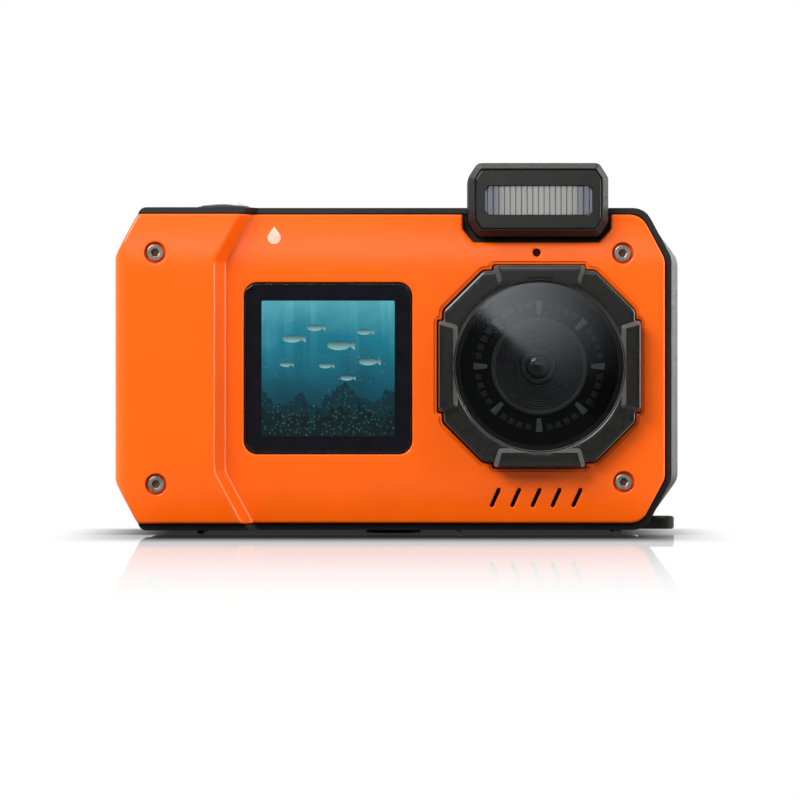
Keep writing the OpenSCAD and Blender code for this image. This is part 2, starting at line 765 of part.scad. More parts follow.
spring_turns = 3;
spring_r = 2.45;
wire_r = 0.22;
spring_low = button_seat_z + wire_r;
spring_high = cap_low_z - wire_r - 0.04;
module shutter_spring() {
    steps = 12;
    n = steps * spring_turns;
    color([0.8, 0.8, 0.82]) for (i = [0 : n - 1]) hull() for (j = [i, i + 1]) {
        a = 360 * j / steps;
        translate([shutter_at[0] + spring_r * cos(a), shutter_at[1] + spring_r * sin(a),
            spring_low + (spring_high - spring_low) * j / n])
            rotate([90, 0, a]) cylinder(r = wire_r, h = 0.02, center = true, $fn = 6);
    }
}

module shutter_seal() {
    color([0.1, 0.1, 0.1]) turned_z(shutter_at, box2([1.56, 61.6], [2.6, 62.6]));
}

module power_button() {
    color([0.2, 0.2, 0.2]) turned_z(power_at, concat(stem, [[4.2, cap_low_z], [4.2, z_top - 0.35],
        [4.0, z_top - 0.15], [3.2, z_top - 0.15], [2.8, z_top - 0.3], [0, z_top - 0.3]]));
}

module zoom_rocker() {
    color([0.2, 0.19, 0.18]) difference() {
        union() {
            bevelled_rear(rounded(rect(rocker_at, 15.4, 5.4), 1.2), 14.0, 18.6, 0.7);
            translate([rocker_at[0], 13.2, rocker_at[1] - 2.7]) cylinder(r = 1.7, h = 5.4);
            for (s = [-1, 1]) bar_y(rocker_at + [5.6 * s, 0], 1.0, 13.2, 14.5);
        }
        translate([rocker_at[0], 13.2, rocker_at[1] - 4]) cylinder(r = 0.75, h = 8);
        for (s = [-1, 1]) bar_y(rocker_at + [5.0 * s, 0], 1.6, 18.3, 19);
    }
}

module rocker_pin() {
    color([0.75, 0.75, 0.75]) translate([rocker_at[0], 13.2, rocker_at[1] - 5.4])
        cylinder(r = 0.7, h = 10.8);
}

module round_key(at, r, out) {
    turned_y(at, [[0, flange_y[0]], [r + flange_w, flange_y[0]], [r + flange_w, flange_y[1]],
        [r, flange_y[1]],
        [r, rear_y + out - 0.3], [r - 0.3, rear_y + out], [0, rear_y + out]]);
}

module sector_key(a) {
    union() {
        sector_prism(a, pad_r0, pad_r1, 0.55, flange_y[0], rear_y + key_out - 0.3);
        sector_prism(a, pad_r0 + 0.3, pad_r1 - 0.3, 0.75, rear_y + key_out - 0.3, rear_y + key_out);
        intersection() {
            sector_prism(a, pad_r1 - 1, pad_r1 + flange_w, 0.55, flange_y[0], flange_y[1]);
            bar_y(pad_at, pad_r1 + flange_w, 0, 20);
        }
    }
}

module key_up() {
    color([0.2, 0.19, 0.18]) sector_key(90);
}

module key_down() {
    color([0.2, 0.19, 0.18]) sector_key(270);
}

module key_left() {
    color([0.2, 0.19, 0.18]) sector_key(180);
}

module key_right() {
    color([0.2, 0.19, 0.18]) sector_key(0);
}

module key_ok() {
    color([0.22, 0.21, 0.2]) turned_y(pad_at, [[0, flange_y[0]], [ok_r, flange_y[0]], [ok_r, rear_y + 0.5],
        [ok_r - 0.3, rear_y + 0.8], [0, rear_y + 0.8]]);
}

module key_mode() {
    color([0.2, 0.19, 0.18]) round_key(round_keys[0], key_r, key_out);
}

module key_play() {
    color([0.2, 0.19, 0.18]) round_key(round_keys[1], key_r, key_out);
}

module key_menu() {
    color([0.2, 0.19, 0.18]) round_key(round_keys[2], key_r, key_out);
}

module key_screen() {
    color([0.2, 0.19, 0.18]) round_key(round_keys[3], key_r, key_out);
}

dome_at = concat(round_keys, [pad_at], [for (a = [0 : 90 : 270]) pad_at + 7.7 * [cos(a), sin(a)]]);

module dome(at, y0, y1) {
    turned_y(at, [[0, y0], [1.9, y0], [1.9, y1 - 0.2], [1.5, y1], [0, y1]]);
}

module dome_switches() {
    color([0.8, 0.8, 0.8]) {
        for (q = dome_at) dome(q, board_y + board_t, 11.4);
        for (s = [-1, 1]) dome([rocker_at[0] + 5.6 * s, 57.6], 10.6, 12.1);
    }
}

module key_mat() {
    color([0.12, 0.12, 0.13]) {
        prism_y(rounded(box2([-49.5, 13.2], [-19.4, 53.6]), 1.5), 11.4, 12.2);
        for (q = dome_at) bar_y(q, 1.4, 12.2 - eps, 12.7);
    }
}

// ---- Inside ----

module main_board() {
    color([0.05, 0.3, 0.18]) difference() {
        prism_y(rounded(box2([-50, 8.2], [50.5, 59.8]), 1.5), board_y, board_y + board_t);
        for (x = [-45, 47], z = [10.6, 57.4]) bar_y([x, z], 1.1, 0, 20);
    }
}

module board_shield() {
    color([0.75, 0.76, 0.78]) difference() {
        prism_y(rounded(box2([-8, 20], [24, 48]), 1), 7.8, board_y);
        prism_y(rounded(box2([-7.6, 20.4], [23.6, 47.6]), 0.6), 8.2, board_y + 1);
        for (x = [-3 : 4 : 19], z = [25 : 6 : 43]) bar_y([x, z], 0.6, 0, 9);
    }
}

module battery_bay() {
    color([0.13, 0.13, 0.14]) {
        difference() {
            prism_y(rounded(box2([-52.0, 16.9], [-12.3, 51.1]), 1), -3.4, 5.0);
            block([-60, -2.5, 17.95], [-13.4, 4.1, 50.05]);
        }
        prism_y(rounded(box2([-44, 51.1 - eps], [-6.5, 52.0]), 0.2, 1), -2.4, 5.0);
        for (q = [shutter_at, power_at]) block([q[0] - 3, q[1] - 2.5, 52.0 - eps], [q[0] + 3, 5.0, 53.6]);
        for (q = [shutter_at, power_at]) bar_z(q, 1.6, 53.6 - eps, 53.7);
    }
}

module battery() {
    color([0.25, 0.27, 0.3]) difference() {
        prism_x(rounded([[-2.2, 18.25], [3.8, 18.25], [3.8, 49.75], [-2.2, 49.75]], 1.2), -53.4, -13.9);
        for (z = [44.5, 47.2]) block([-14.6, -0.6, z - 0.8], [-13, 2.2, z + 0.8]);
    }
}

module card_socket() {
    color([0.78, 0.78, 0.8]) difference() {
        block([-50, 7.0, 28.5], [-35.0, board_y, 42.5]);
        block([-51, 7.5, 29.9], [-37.5, 8.5, 41.1]);
    }
}

module memory_card() {
    color([0.08, 0.08, 0.1]) difference() {
        prism_y([[-53.0, 30.0], [-38.0, 30.0], [-38.0, 38.6], [-41.0, 41.0], [-53.0, 41.0]], 7.6, 8.35);
        block([-53.5, 7.5, 31], [-52.4, 7.75, 40]);
    }
}

module usb_port() {
    color([0.8, 0.8, 0.82]) {
        difference() {
            prism_x(rounded(box2([6.4, 18.2], [board_y, 27.2]), 1.3), -53.4, -46.7);
            prism_x(rounded(box2([6.7, 18.5], [board_y - 0.3, 26.9]), 1.0), -54, -47.2);
        }
        block([-52.4, 7.7, 19.6], [-47.0, 8.3, 25.8]);
    }
}

module speaker() {
    color([0.3, 0.3, 0.32]) difference() {
        prism_y(rounded(box2(speaker_low, speaker_high), 1.5), wall_y, -6.4);
        prism_y(rounded(box2(speaker_low + [1.4, 1.4], speaker_high - [1.4, 1.4]), 1.0), -12, -9.0);
    }
}

mic_y = wall_y + 0.5;
module microphone() {
    color([0.7, 0.7, 0.7]) difference() {
        bar_y(mic_at, 2.0, mic_y, mic_y + 2);
        bar_y(mic_at, 0.7, -12, mic_y + 1);
    }
}

module tripod_insert() {
    color([0.78, 0.62, 0.3]) difference() {
        bar_z([0, 0], insert_r, 0, insert_h);
        bar_z([0, 0], socket_r, -1, socket_depth);
    }
}

module base_pads() {
    color([0.1, 0.1, 0.1]) pads();
}

// ---- Battery door ----

module battery_door() {
    color([0.17, 0.16, 0.15]) difference() {
        union() {
            block([-half_w, door_front_y + 0.3, door_z[0] + 0.3], [door_in_x, 11.3, door_z[1] - 0.3]);
            block([-half_w, 11.2, knuckle_z[0]], [door_in_x, hinge_at[1], knuckle_z[1]]);
            bar_z(hinge_at, hinge_r, knuckle_z[0], knuckle_z[1]);
            difference() {
                prism_x(rounded(box2([-2.6, 17.0], [10.6, 51.0]), 1.5), door_in_x - eps, -53.8);
                prism_x(rounded(box2([-1.6, 18.0], [9.6, 50.0]), 1.0), -56, -53);
            }
        }
        bar_z(hinge_at, pin_hole_r, 0, 70);
        block([-60, -3.4, 30.1], [tongue_x[0], 2.9, 37.9]);
        block([tongue_x[0] - 0.1, -8, tongue_z[0] - 0.3], [tongue_x[1] + 0.1, 2.0, tongue_z[1] + 0.3]);
        for (z = [18 : 2.2 : 28]) block([-60, 1, z], [-half_w + 0.3, 9, z + 0.9]);
    }
}

module door_gasket() {
    color([0.85, 0.75, 0.2]) difference() {
        prism_x(rounded(box2([-3.8, 15.4], [11.2, 52.6]), 2.0), door_in_x, door_in_x + 0.6);
        prism_x(rounded(box2([-2.7, 16.9], [10.7, 51.1]), 1.5), -60, -50);
    }
}

module hinge_pin() {
    color([0.75, 0.75, 0.75]) bar_z(hinge_at, pin_r, door_z[0] + 0.4, door_z[1] - 0.4);
}

module door_latch() {
    color([0.22, 0.21, 0.2]) difference() {
        union() {
            block([-half_w + 0.05, -1.2, 30.4], [tongue_x[0], 2.6, 37.6]);
            block([tongue_x[0] - eps, -4.0, tongue_z[0]], [tongue_x[1], 1.6, tongue_z[1]]);
        }
        for (y = [-0.6, 0.5, 1.6]) block([-60, y, 31], [-half_w + 0.35, y + 0.5, 37]);
    }
}

front_cover();
cover_screws();
front_case();
rear_case();
case_gasket();
case_screws();
lens_bezel();
lens_glass();
lens_seal();
dial_ring();
dial_marks();
lens_cone();
lens_barrel();
front_element();
rear_element();
image_sensor();
sensor_board();
front_window();
front_panel();
flash_housing();
flash_plate();
flash_lens();
flash_reflector();
flash_tube();
flash_capacitor();
shutter_button();
shutter_spring();
shutter_seal();
power_button();
zoom_rocker();
rocker_pin();
key_up();
key_down();
key_left();
key_right();
key_ok();
key_mode();
key_play();
key_menu();
key_screen();
key_mat();
dome_switches();
rear_window();
rear_panel();
display_frame();
main_board();
board_shield();
battery_bay();
battery();
card_socket();
memory_card();
usb_port();
battery_door();
door_gasket();
hinge_pin();
door_latch();
speaker();
microphone();
tripod_insert();
base_pads();
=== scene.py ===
"""Looks of the rugged two-screen camera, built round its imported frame. Metres, +Z up, the front faces -Y."""

import math

import bmesh
import bpy
import numpy as np
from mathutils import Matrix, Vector
from mathutils.geometry import delaunay_2d_cdt


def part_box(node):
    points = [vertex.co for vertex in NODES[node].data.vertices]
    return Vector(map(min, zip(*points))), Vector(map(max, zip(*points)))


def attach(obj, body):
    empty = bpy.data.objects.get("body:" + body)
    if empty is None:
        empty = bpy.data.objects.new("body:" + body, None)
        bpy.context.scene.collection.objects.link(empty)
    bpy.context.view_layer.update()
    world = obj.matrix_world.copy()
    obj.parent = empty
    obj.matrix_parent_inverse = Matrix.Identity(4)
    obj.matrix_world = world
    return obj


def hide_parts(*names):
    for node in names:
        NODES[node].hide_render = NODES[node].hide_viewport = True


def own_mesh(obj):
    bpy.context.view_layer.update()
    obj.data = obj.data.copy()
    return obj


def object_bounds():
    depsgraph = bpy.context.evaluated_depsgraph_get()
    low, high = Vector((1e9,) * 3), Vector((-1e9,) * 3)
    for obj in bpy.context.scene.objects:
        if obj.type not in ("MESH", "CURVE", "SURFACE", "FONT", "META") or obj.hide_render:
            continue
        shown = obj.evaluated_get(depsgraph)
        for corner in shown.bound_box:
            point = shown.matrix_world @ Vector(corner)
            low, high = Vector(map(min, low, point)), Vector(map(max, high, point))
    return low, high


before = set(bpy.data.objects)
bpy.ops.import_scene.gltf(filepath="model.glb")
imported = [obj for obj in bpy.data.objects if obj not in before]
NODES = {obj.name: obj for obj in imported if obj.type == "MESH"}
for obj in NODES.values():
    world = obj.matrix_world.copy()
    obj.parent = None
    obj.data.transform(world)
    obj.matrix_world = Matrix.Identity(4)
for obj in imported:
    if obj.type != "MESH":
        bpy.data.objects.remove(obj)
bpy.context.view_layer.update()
MM = 0.001


# ---- Places, read from the frame, in millimetres ----

def node_box(name):
    """A CAD node's lowest and highest corners, in millimetres."""
    low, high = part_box(name)
    return np.array(low) / MM, np.array(high) / MM


def centre(name):
    """A CAD node's middle, as (x, z)."""
    low, high = node_box(name)
    return (low[[0, 2]] + high[[0, 2]]) / 2


COVER_LOW, COVER_HIGH = node_box("front_cover")
CASE_LOW = node_box("rear_case")[0]
GRIP_Y = COVER_LOW[1]
GRIP_OUT = 4.0
FACE_Y = GRIP_Y + GRIP_OUT
SKIRT_Y = COVER_HIGH[1]
COVER_T = 2.4
FLOOR_Y = FACE_Y + COVER_T
Z_LOW = CASE_LOW[2] + 0.8
Z_TOP = Z_LOW + 66.4
Z_MID = (Z_LOW + Z_TOP) / 2
HALF_W = -COVER_LOW[0]
RIM_W = 1.4
SLOPE = (5.4, 10.25)
LEAN = SLOPE[0] / SLOPE[1]
LENS = centre("lens_glass")
WINDOW = centre("front_window")
FLASH = centre("flash_housing")
MIC = centre("microphone")
SCREWS = [(-48.9, 57.8), (-48.7, 10.3), (47.1, 57.8), (47.3, 10.7)]
SLOT_X = [20.9, 25.1, 29.3, 33.4, 37.7]
SLOT_Z = 7.5


# ---- Outlines, as lists of (x, z) ----

def rect(c, w, h):
    return [(c[0] + i * w / 2, c[1] + j * h / 2) for i, j in ((-1, -1), (1, -1), (1, 1), (-1, 1))]


def octagon(c, half, cut):
    (x, z), (a, b), (s, t) = c, half, cut
    return [(x - a, z - b + t), (x - a + s, z - b), (x + a - s, z - b), (x + a, z - b + t),
            (x + a, z + b - t), (x + a - s, z + b), (x - a + s, z + b), (x - a, z + b - t)]


def rounded(points, radii, n=8):
    """An outline with arcs at its corners; radii is one number, or one per corner."""
    pts = [np.array(p, float) for p in points]
    radii = radii if isinstance(radii, (list, tuple)) else [radii] * len(pts)
    out = []
    for i, (p, r) in enumerate(zip(pts, radii)):
        if r <= 0:
            out.append(p)
            continue
        a, b = pts[i - 1], pts[(i + 1) % len(pts)]
        u, v = (a - p) / np.linalg.norm(a - p), (b - p) / np.linalg.norm(b - p)
        half = math.acos(float(u @ v)) / 2
        c = p + (u + v) / np.linalg.norm(u + v) * r / math.sin(half)
        s, e = p + u * r / math.tan(half) - c, p + v * r / math.tan(half) - c
        a0, a1 = math.atan2(s[1], s[0]), math.atan2(e[1], e[0])
        d = (a1 - a0 + math.pi) % (2 * math.pi) - math.pi
        angles = [a0 + d * k / n for k in range(n + 1)]
        out += [c + r * np.array([math.cos(a), math.sin(a)]) for a in angles]
    return out


def circle(c, r, n=48):
    angles = [2 * math.pi * k / n for k in range(n)]
    return [(c[0] + r * math.cos(a), c[1] + r * math.sin(a)) for a in angles]


def turned_points(points, c, degrees):
    """Points about the origin, turned and then moved to c."""
    s, k = math.sin(math.radians(degrees)), math.cos(math.radians(degrees))
    return [(c[0] + x * k - z * s, c[1] + x * s + z * k) for x, z in points]


def inset(points, d):
    """An anticlockwise outline moved in by d."""
    pts = [np.array(p, float) for p in points]
    out = []
    for i, p in enumerate(pts):
        u, v = p - pts[i - 1], pts[(i + 1) % len(pts)] - p
        u, v = u / np.linalg.norm(u), v / np.linalg.norm(v)
        k, l = np.array([-u[1], u[0]]), np.array([-v[1], v[0]])
        out.append(p + (k + l) * d / (1 + float(k @ l)))
    return out


def dense(points, step):
    """The outline with points at most step apart."""
    pts = [np.array(p, float) for p in points]
    out = []
    for i, p in enumerate(pts):
        q = pts[(i + 1) % len(pts)]
        n = max(1, math.ceil(np.linalg.norm(q - p) / step))
        out += [p + (q - p) * k / n for k in range(n)]
    return np.array(out)


def edge_distance(p, loop):
    """Distance of each point in p from a closed outline."""
    a, b = loop, np.roll(loop, -1, axis=0)
    best = np.full(len(p), 1e9)
    for s, e in zip(a, b):
        d = e - s
        t = np.clip(((p - s) @ d) / max(float(d @ d), 1e-12), 0, 1)
        best = np.minimum(best, np.linalg.norm(p - s - t[:, None] * d, axis=1))
    return best


def within(p, loop):
    """Whether each point in p is inside a closed outline."""
    x, y = p[:, 0], p[:, 1]
    hit = np.zeros(len(p), bool)
    for (x1, y1), (x2, y2) in zip(loop, np.roll(loop, -1, axis=0)):
        if y1 != y2:
            hit ^= ((y1 > y) != (y2 > y)) & (x < (x2 - x1) * (y - y1) / (y2 - y1) + x1)
    return hit


# ---- Mesh builders ----

def make(name, verts, faces, material, body="camera", slot=None, smooth=35):
    """A mesh object from millimetre points, smooth but for edges sharper than an angle."""
    mesh = bpy.data.meshes.new(name)
    mesh.from_pydata([tuple(np.array(v) * MM) for v in verts], [], faces)
    bm = bmesh.new()
    bm.from_mesh(mesh)
    bmesh.ops.remove_doubles(bm, verts=bm.verts, dist=1e-7)
    bmesh.ops.recalc_face_normals(bm, faces=bm.faces)
    limit = math.radians(smooth)
    for f in bm.faces:
        f.smooth = True
    for e in bm.edges:
        if len(e.link_faces) == 2:
            e.smooth = e.calc_face_angle(0) < limit
    bm.to_mesh(mesh)
    bm.free()
    obj = bpy.data.objects.new(name, mesh)
    bpy.context.scene.collection.objects.link(obj)
    mesh.materials.append(material)
    even = obj.modifiers.new("even_normals", "WEIGHTED_NORMAL")
    even.keep_sharp = True
    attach(obj, body)
    return obj


def on_plate(p, rings):
    """Whether each point in p is inside the outer outline and outside every hole."""
    keep = within(p, rings[0])
    for h in rings[1:]:
        keep &= ~within(p, h)
    return keep


def edge_points(rings, edges):
    """Rows of points across each rounded edge."""
    points = []
    for i, (loop, radius) in enumerate(zip(rings, edges)):
        if radius <= 0:
            continue
        t = np.roll(loop, -1, axis=0) - np.roll(loop, 1, axis=0)
        n = np.stack([-t[:, 1], t[:, 0]], axis=1) / np.linalg.norm(t, axis=1)[:, None]
        n = n if i == 0 else -n
        for angle in (18, 36, 54, 72, 90):
            d = radius * (1 - math.cos(math.radians(angle)))
            ring = loop + n * d
            clear = np.min([edge_distance(ring, other) for other in rings], axis=0) > 0.93 * d
            points += list(ring[clear])
    return points


def line_points(line, rings, first):
    """The part of a line that is on the plate, and the joins between its points, numbered from first."""
    keep = on_plate(line, rings)
    keep &= np.min([edge_distance(line, other) for other in rings], axis=0) > 0.12
    points, index = [], {}
    for k, (p, ok) in enumerate(zip(line, keep)):
        if ok:
            index[k] = first + len(index)
            points.append(p)
    return points, [(index[k], index[k + 1]) for k in index if k + 1 in index]


def field_points(rings, edges, grid, lines):
    """A staggered grid over the plate, clear of its edges and of the lines."""
    low, high = rings[0].min(0), rings[0].max(0)
    xs, zs = np.arange(low[0] + grid / 2, high[0], grid), np.arange(low[1] + grid / 2, high[1], grid)
    p = np.array([(x + (j % 2) * grid / 2, z) for j, z in enumerate(zs) for x in xs])
    keep = on_plate(p, rings)
    for loop, radius in zip(rings, edges):
        keep &= edge_distance(p, loop) > max(radius * 1.25, grid * 0.45)
    p = p[keep]
    if lines:
        spots = np.concatenate(lines)
        p = p[np.min(np.linalg.norm(p[:, None] - spots[None], axis=2), axis=1) > grid * 0.45]
    return list(p)


def triangles(points, joins, rings):
    """The plate's points and triangles, seen from the front."""
    flat = [Vector((float(a), float(b))) for a, b in points]
    verts, _, tris, _, _, _ = delaunay_2d_cdt(flat, joins, [], 0, 1e-5)
    v = np.array([(a.x, a.y) for a in verts])
    t = np.array([f for f in tris if len(f) == 3])
    return v, t[on_plate(v[t].mean(axis=1), rings)]


def relief(outer, holes, height, back, edges, grid, features=(), step=0.5):
    """A plate seen from the front: its front follows height(p), its rear is at back(p), and its
    edges are rounded. edges is the outer edge's radius, then one per hole. Returns points and faces."""
    loops = [dense(outer, step)] + [dense(h, min(step, 0.4)) for h in holes]
    rings = [np.array(loop) for loop in loops]
    lines = [np.array(line) for line in features]
    points, joins = [], []
    for loop in loops:
        first = len(points)
        joins += [(first + k, first + (k + 1) % len(loop)) for k in range(len(loop))]
        points += list(loop)
    points += edge_points(rings, edges)
    for line in lines:
        found, links = line_points(line, rings, len(points))
        points += found
        joins += links
    points += field_points(rings, edges, grid, lines)
    v, t = triangles(points, joins, rings)
    y = height(v)
    for loop, radius in zip(rings, edges):
        if radius > 0:
            reach = radius - np.minimum(edge_distance(v, loop), radius)
            y = y + (radius - np.sqrt(np.maximum(radius ** 2 - reach ** 2, 0)))
    rear = back(v)
    y = np.minimum(y, rear - 0.05)
    n = len(v)
    solid = [(a, b, c) for (a, c), b in zip(v, y)] + [(a, b, c) for (a, c), b in zip(v, rear)]
    faces = [tuple(f) for f in t] + [tuple(n + k for k in reversed(f)) for f in t]
    sides = {side: None for f in t for side in ((f[0], f[1]), (f[1], f[2]), (f[2], f[0]))}
    faces += [(b, a, n + a, n + b) for a, b in sides if (b, a) not in sides]
    return solid, faces


def level(y):
    """A flat front or rear at one depth, for relief()."""
    return lambda p: np.full(len(p), y)


def joined(*parts):
    """Several (points, faces) as one."""
    points, faces = [], []
    for p, f in parts:
        k = len(points)
        points += list(p)
        faces += [tuple(k + i for i in face) for face in f]
    return points, faces


def turned(profile, c, axis="y", n=128):
    """A turned shape from (radius, along) points about the Y axis at (x, z), or the Z axis at (x, y)."""
    points, faces, rows = [], [], []
    for r, a in profile:
        row = []
        for k in range(n if r > 1e-6 else 1):
            u, w = r * math.cos(2 * math.pi * k / n), r * math.sin(2 * math.pi * k / n)
            row.append(len(points))
            points.append((c[0] + u, a, c[1] + w) if axis == "y" else (c[0] + u, c[1] + w, a))
        rows.append(row)
    closed = profile[0][0] > 1e-6 and profile[-1][0] > 1e-6
    pairs = list(zip(rows, rows[1:])) + ([(rows[-1], rows[0])] if closed else [])
    for a, b in pairs:
        for k in range(n):
            quad = [a[k % len(a)], a[(k + 1) % len(a)], b[(k + 1) % len(b)], b[k % len(b)]]
            face = [q for i, q in enumerate(quad) if q not in quad[:i]]
            if len(face) > 2:
                faces.append(tuple(face))
    return points, faces


def arc(c, r, a0, a1, n=6):
    """Points of an arc from angle a0 to a1, in degrees."""
    turn = [math.radians(a0 + (a1 - a0) * k / n) for k in range(n + 1)]
    return [(c[0] + r * math.cos(a), c[1] + r * math.sin(a)) for a in turn]


# ---- Materials ----

class Shader:
    """A Principled material that is built up node by node."""

    def __init__(self, name, color, rough, metal=0.0, **sockets):
        self.mat = bpy.data.materials.new(name)
        self.mat.use_nodes = True
        self.tree = self.mat.node_tree
        self.bsdf = self.tree.nodes["Principled BSDF"]
        self.coords = self.tree.nodes.new("ShaderNodeTexCoord").outputs["Object"]
        self.set("Base Color", (*color, 1))
        self.set("Roughness", rough)
        self.set("Metallic", metal)
        for key, value in sockets.items():
            self.set(key.replace("_", " "), value)
        self.last_normal = None

    def set(self, socket, value):
        self.bsdf.inputs[socket].default_value = value

    def node(self, kind, **values):
        n = self.tree.nodes.new(kind)
        for key, value in values.items():
            if hasattr(n, key) and key not in n.inputs:
                setattr(n, key, value)
            else:
                n.inputs[key.replace("_", " ")].default_value = value
        return n

    def link(self, a, b):
        self.tree.links.new(a, b)

    def noise(self, size_mm, detail=2.0, squeeze=(1, 1, 1), rough=0.5):
        place = self.node("ShaderNodeMapping")
        place.inputs["Scale"].default_value = squeeze
        self.link(self.coords, place.inputs["Vector"])
        n = self.node("ShaderNodeTexNoise", Scale=1 / (size_mm * MM), Detail=detail, Roughness=rough)
        self.link(place.outputs["Vector"], n.inputs["Vector"])
        return n.outputs["Fac"]

    def cells(self, size_mm, feature="F1"):
        n = self.node("ShaderNodeTexVoronoi", Scale=1 / (size_mm * MM))
        n.feature = feature
        self.link(self.coords, n.inputs["Vector"])
        return n.outputs["Distance"]

    def ramp(self, value, *stops):
        """stops are (place, colour) pairs."""
        r = self.node("ShaderNodeValToRGB")
        while len(r.color_ramp.elements) < len(stops):
            r.color_ramp.elements.new(0.5)
        for element, (place, color) in zip(r.color_ramp.elements, stops):
            element.position = place
            element.color = (*color, 1)
        self.link(value, r.inputs["Fac"])
        return r.outputs["Color"]

    def spread(self, value, low, high, from_low=0.3, from_high=0.7):
        m = self.node("ShaderNodeMapRange")
        ends = {"From Min": from_low, "From Max": from_high, "To Min": low, "To Max": high}
        for key, number in ends.items():
            m.inputs[key].default_value = number
        self.link(value, m.inputs["Value"])
        return m.outputs["Result"]

    def fill(self, socket, value):
        if isinstance(value, tuple):
            socket.default_value = (*value, 1)
        elif isinstance(value, (int, float)):
            socket.default_value = value
        else:
            self.link(value, socket)

    def calc(self, operation, a, b=0.0, clamp=False):
        n = self.node("ShaderNodeMath", operation=operation, use_clamp=clamp)
        self.fill(n.inputs[0], a)
        self.fill(n.inputs[1], b)
        return n.outputs[0]

    def mix(self, factor, a, b, blend="MIX"):
        n = self.node("ShaderNodeMix", data_type="RGBA", blend_type=blend)
        for socket, value in zip((n.inputs[0], n.inputs[6], n.inputs[7]), (factor, a, b)):
            self.fill(socket, value)
        return n.outputs[2]

    def color(self, value, *stops):
        self.link(self.ramp(value, *stops), self.bsdf.inputs["Base Color"])
        return self

    def roughness(self, value, low, high):
        self.link(self.spread(value, low, high), self.bsdf.inputs["Roughness"])
        return self

    def bump(self, value, depth_mm, strength=1.0):
        b = self.node("ShaderNodeBump", Strength=strength, Distance=depth_mm * MM)
        self.link(value, b.inputs["Height"])
        if self.last_normal:
            self.link(self.last_normal, b.inputs["Normal"])
        self.last_normal = b.outputs["Normal"]
        self.link(self.last_normal, self.bsdf.inputs["Normal"])
        return self


def shade(c, k):
    return tuple(min(1.0, v * k) for v in c)


def orange_paint():
    base = (0.97, 0.122, 0.002)
    m = Shader("orange_paint", base, 0.22, Specular_IOR_Level=0.4)
    m.color(m.noise(9, 3), (0.3, shade(base, 0.97)), (0.7, shade(base, 1.03)))
    m.roughness(m.noise(1.6, 4), 0.21, 0.25)
    return m.bump(m.noise(0.5, 3), 0.003).mat


def grained_black(name, base=(0.013, 0.012, 0.011), grain=0.16, depth=0.03, rough=0.5):
    m = Shader(name, base, rough, Specular_IOR_Level=0.2)
    m.color(m.noise(4, 4), (0.3, shade(base, 0.85)), (0.7, shade(base, 1.2)))
    m.roughness(m.noise(0.6, 4), rough - 0.06, rough + 0.08)
    m.bump(m.cells(grain), depth, 0.9)
    return m.bump(m.noise(grain * 0.7, 2), depth * 0.5).mat


def smooth_black(name, base=(0.01, 0.0095, 0.009), rough=0.3, gloss=0.25, depth=0.003):
    m = Shader(name, base, rough, Specular_IOR_Level=gloss)
    m.color(m.noise(3, 4), (0.3, shade(base, 0.85)), (0.7, shade(base, 1.2)))
    m.roughness(m.noise(0.8, 4), rough - 0.04, rough + 0.05)
    return m.bump(m.noise(0.2, 2), depth).mat


def bevelled_black(name, base=(0.01, 0.0095, 0.009), painted_sheen=(0.085, 0.082, 0.078)):
    """Satin black, with a painted highlight: lighter on the faces that slant away from the front's plane,
    standing in for the lights they catch.
    """
    m = Shader(name, base, 0.17, Specular_IOR_Level=0.7)
    split = m.node("ShaderNodeSeparateXYZ")
    m.link(m.node("ShaderNodeNewGeometry").outputs["Normal"], split.inputs["Vector"])
    slant = m.spread(m.calc("ABSOLUTE", split.outputs["Y"]), 1.0, 0.0, 0.55, 0.95)
    uneven = m.spread(m.noise(3, 4), 0.85, 1.15)
    # painted highlight: the colour runs from the base to a lighter grey on slanting faces, in place of the
    # lights' sheen
    m.color(m.calc("MULTIPLY", slant, uneven), (0.0, base), (1.0, painted_sheen))
    m.roughness(m.noise(0.8, 4), 0.13, 0.22)
    return m.bump(m.noise(0.2, 2), 0.001).mat


def metal(name, base, rough, squeeze=(1, 1, 1), size=0.3, depth=0.004):
    m = Shader(name, base, rough, metal=1.0)
    m.color(m.noise(size * 4, 4, squeeze), (0.3, shade(base, 0.88)), (0.7, shade(base, 1.06)))
    m.roughness(m.noise(size, 4, squeeze), rough - 0.06, rough + 0.1)
    return m.bump(m.noise(size * 0.5, 3, squeeze), depth).mat


def clear_glass(name, tint=(0.4, 0.42, 0.45), alpha=0.24, rough=0.02, metal=1.0):
    """Thin glass: a faint mirror over what lies behind it, since alpha thins its own gloss too."""
    m = Shader(name, tint, rough, metal=metal, Alpha=alpha)
    m.color(m.noise(12, 2), (0.3, shade(tint, 0.95)), (0.7, shade(tint, 1.05)))
    m.roughness(m.noise(6, 3), rough, rough + 0.02)
    return m.mat


def soft_rubber(name, base=(0.018, 0.018, 0.018)):
    m = Shader(name, base, 0.75, Sheen_Weight=0.15)
    m.color(m.noise(1.2, 4), (0.3, shade(base, 0.8)), (0.7, shade(base, 1.3)))
    return m.bump(m.noise(0.2, 3), 0.02).mat


def circuit_board():
    m = Shader("circuit_board", (0.01, 0.12, 0.05), 0.35, Coat_Weight=0.4)
    m.color(m.cells(1.6), (0.05, (0.02, 0.2, 0.09)), (0.4, (0.006, 0.085, 0.035)))
    return m.bump(m.cells(1.6), 0.05).mat


def from_middle(m, place, axes):
    """Distance in metres from a point given in millimetres, along the named axes only."""
    shift = m.node("ShaderNodeVectorMath", operation="SUBTRACT")
    m.link(m.coords, shift.inputs[0])
    shift.inputs[1].default_value = [v * MM for v in place]
    keep = m.node("ShaderNodeVectorMath", operation="MULTIPLY")
    m.link(shift.outputs[0], keep.inputs[0])
    keep.inputs[1].default_value = axes
    size = m.node("ShaderNodeVectorMath", operation="LENGTH")
    m.link(keep.outputs[0], size.inputs[0])
    return size.outputs["Value"]


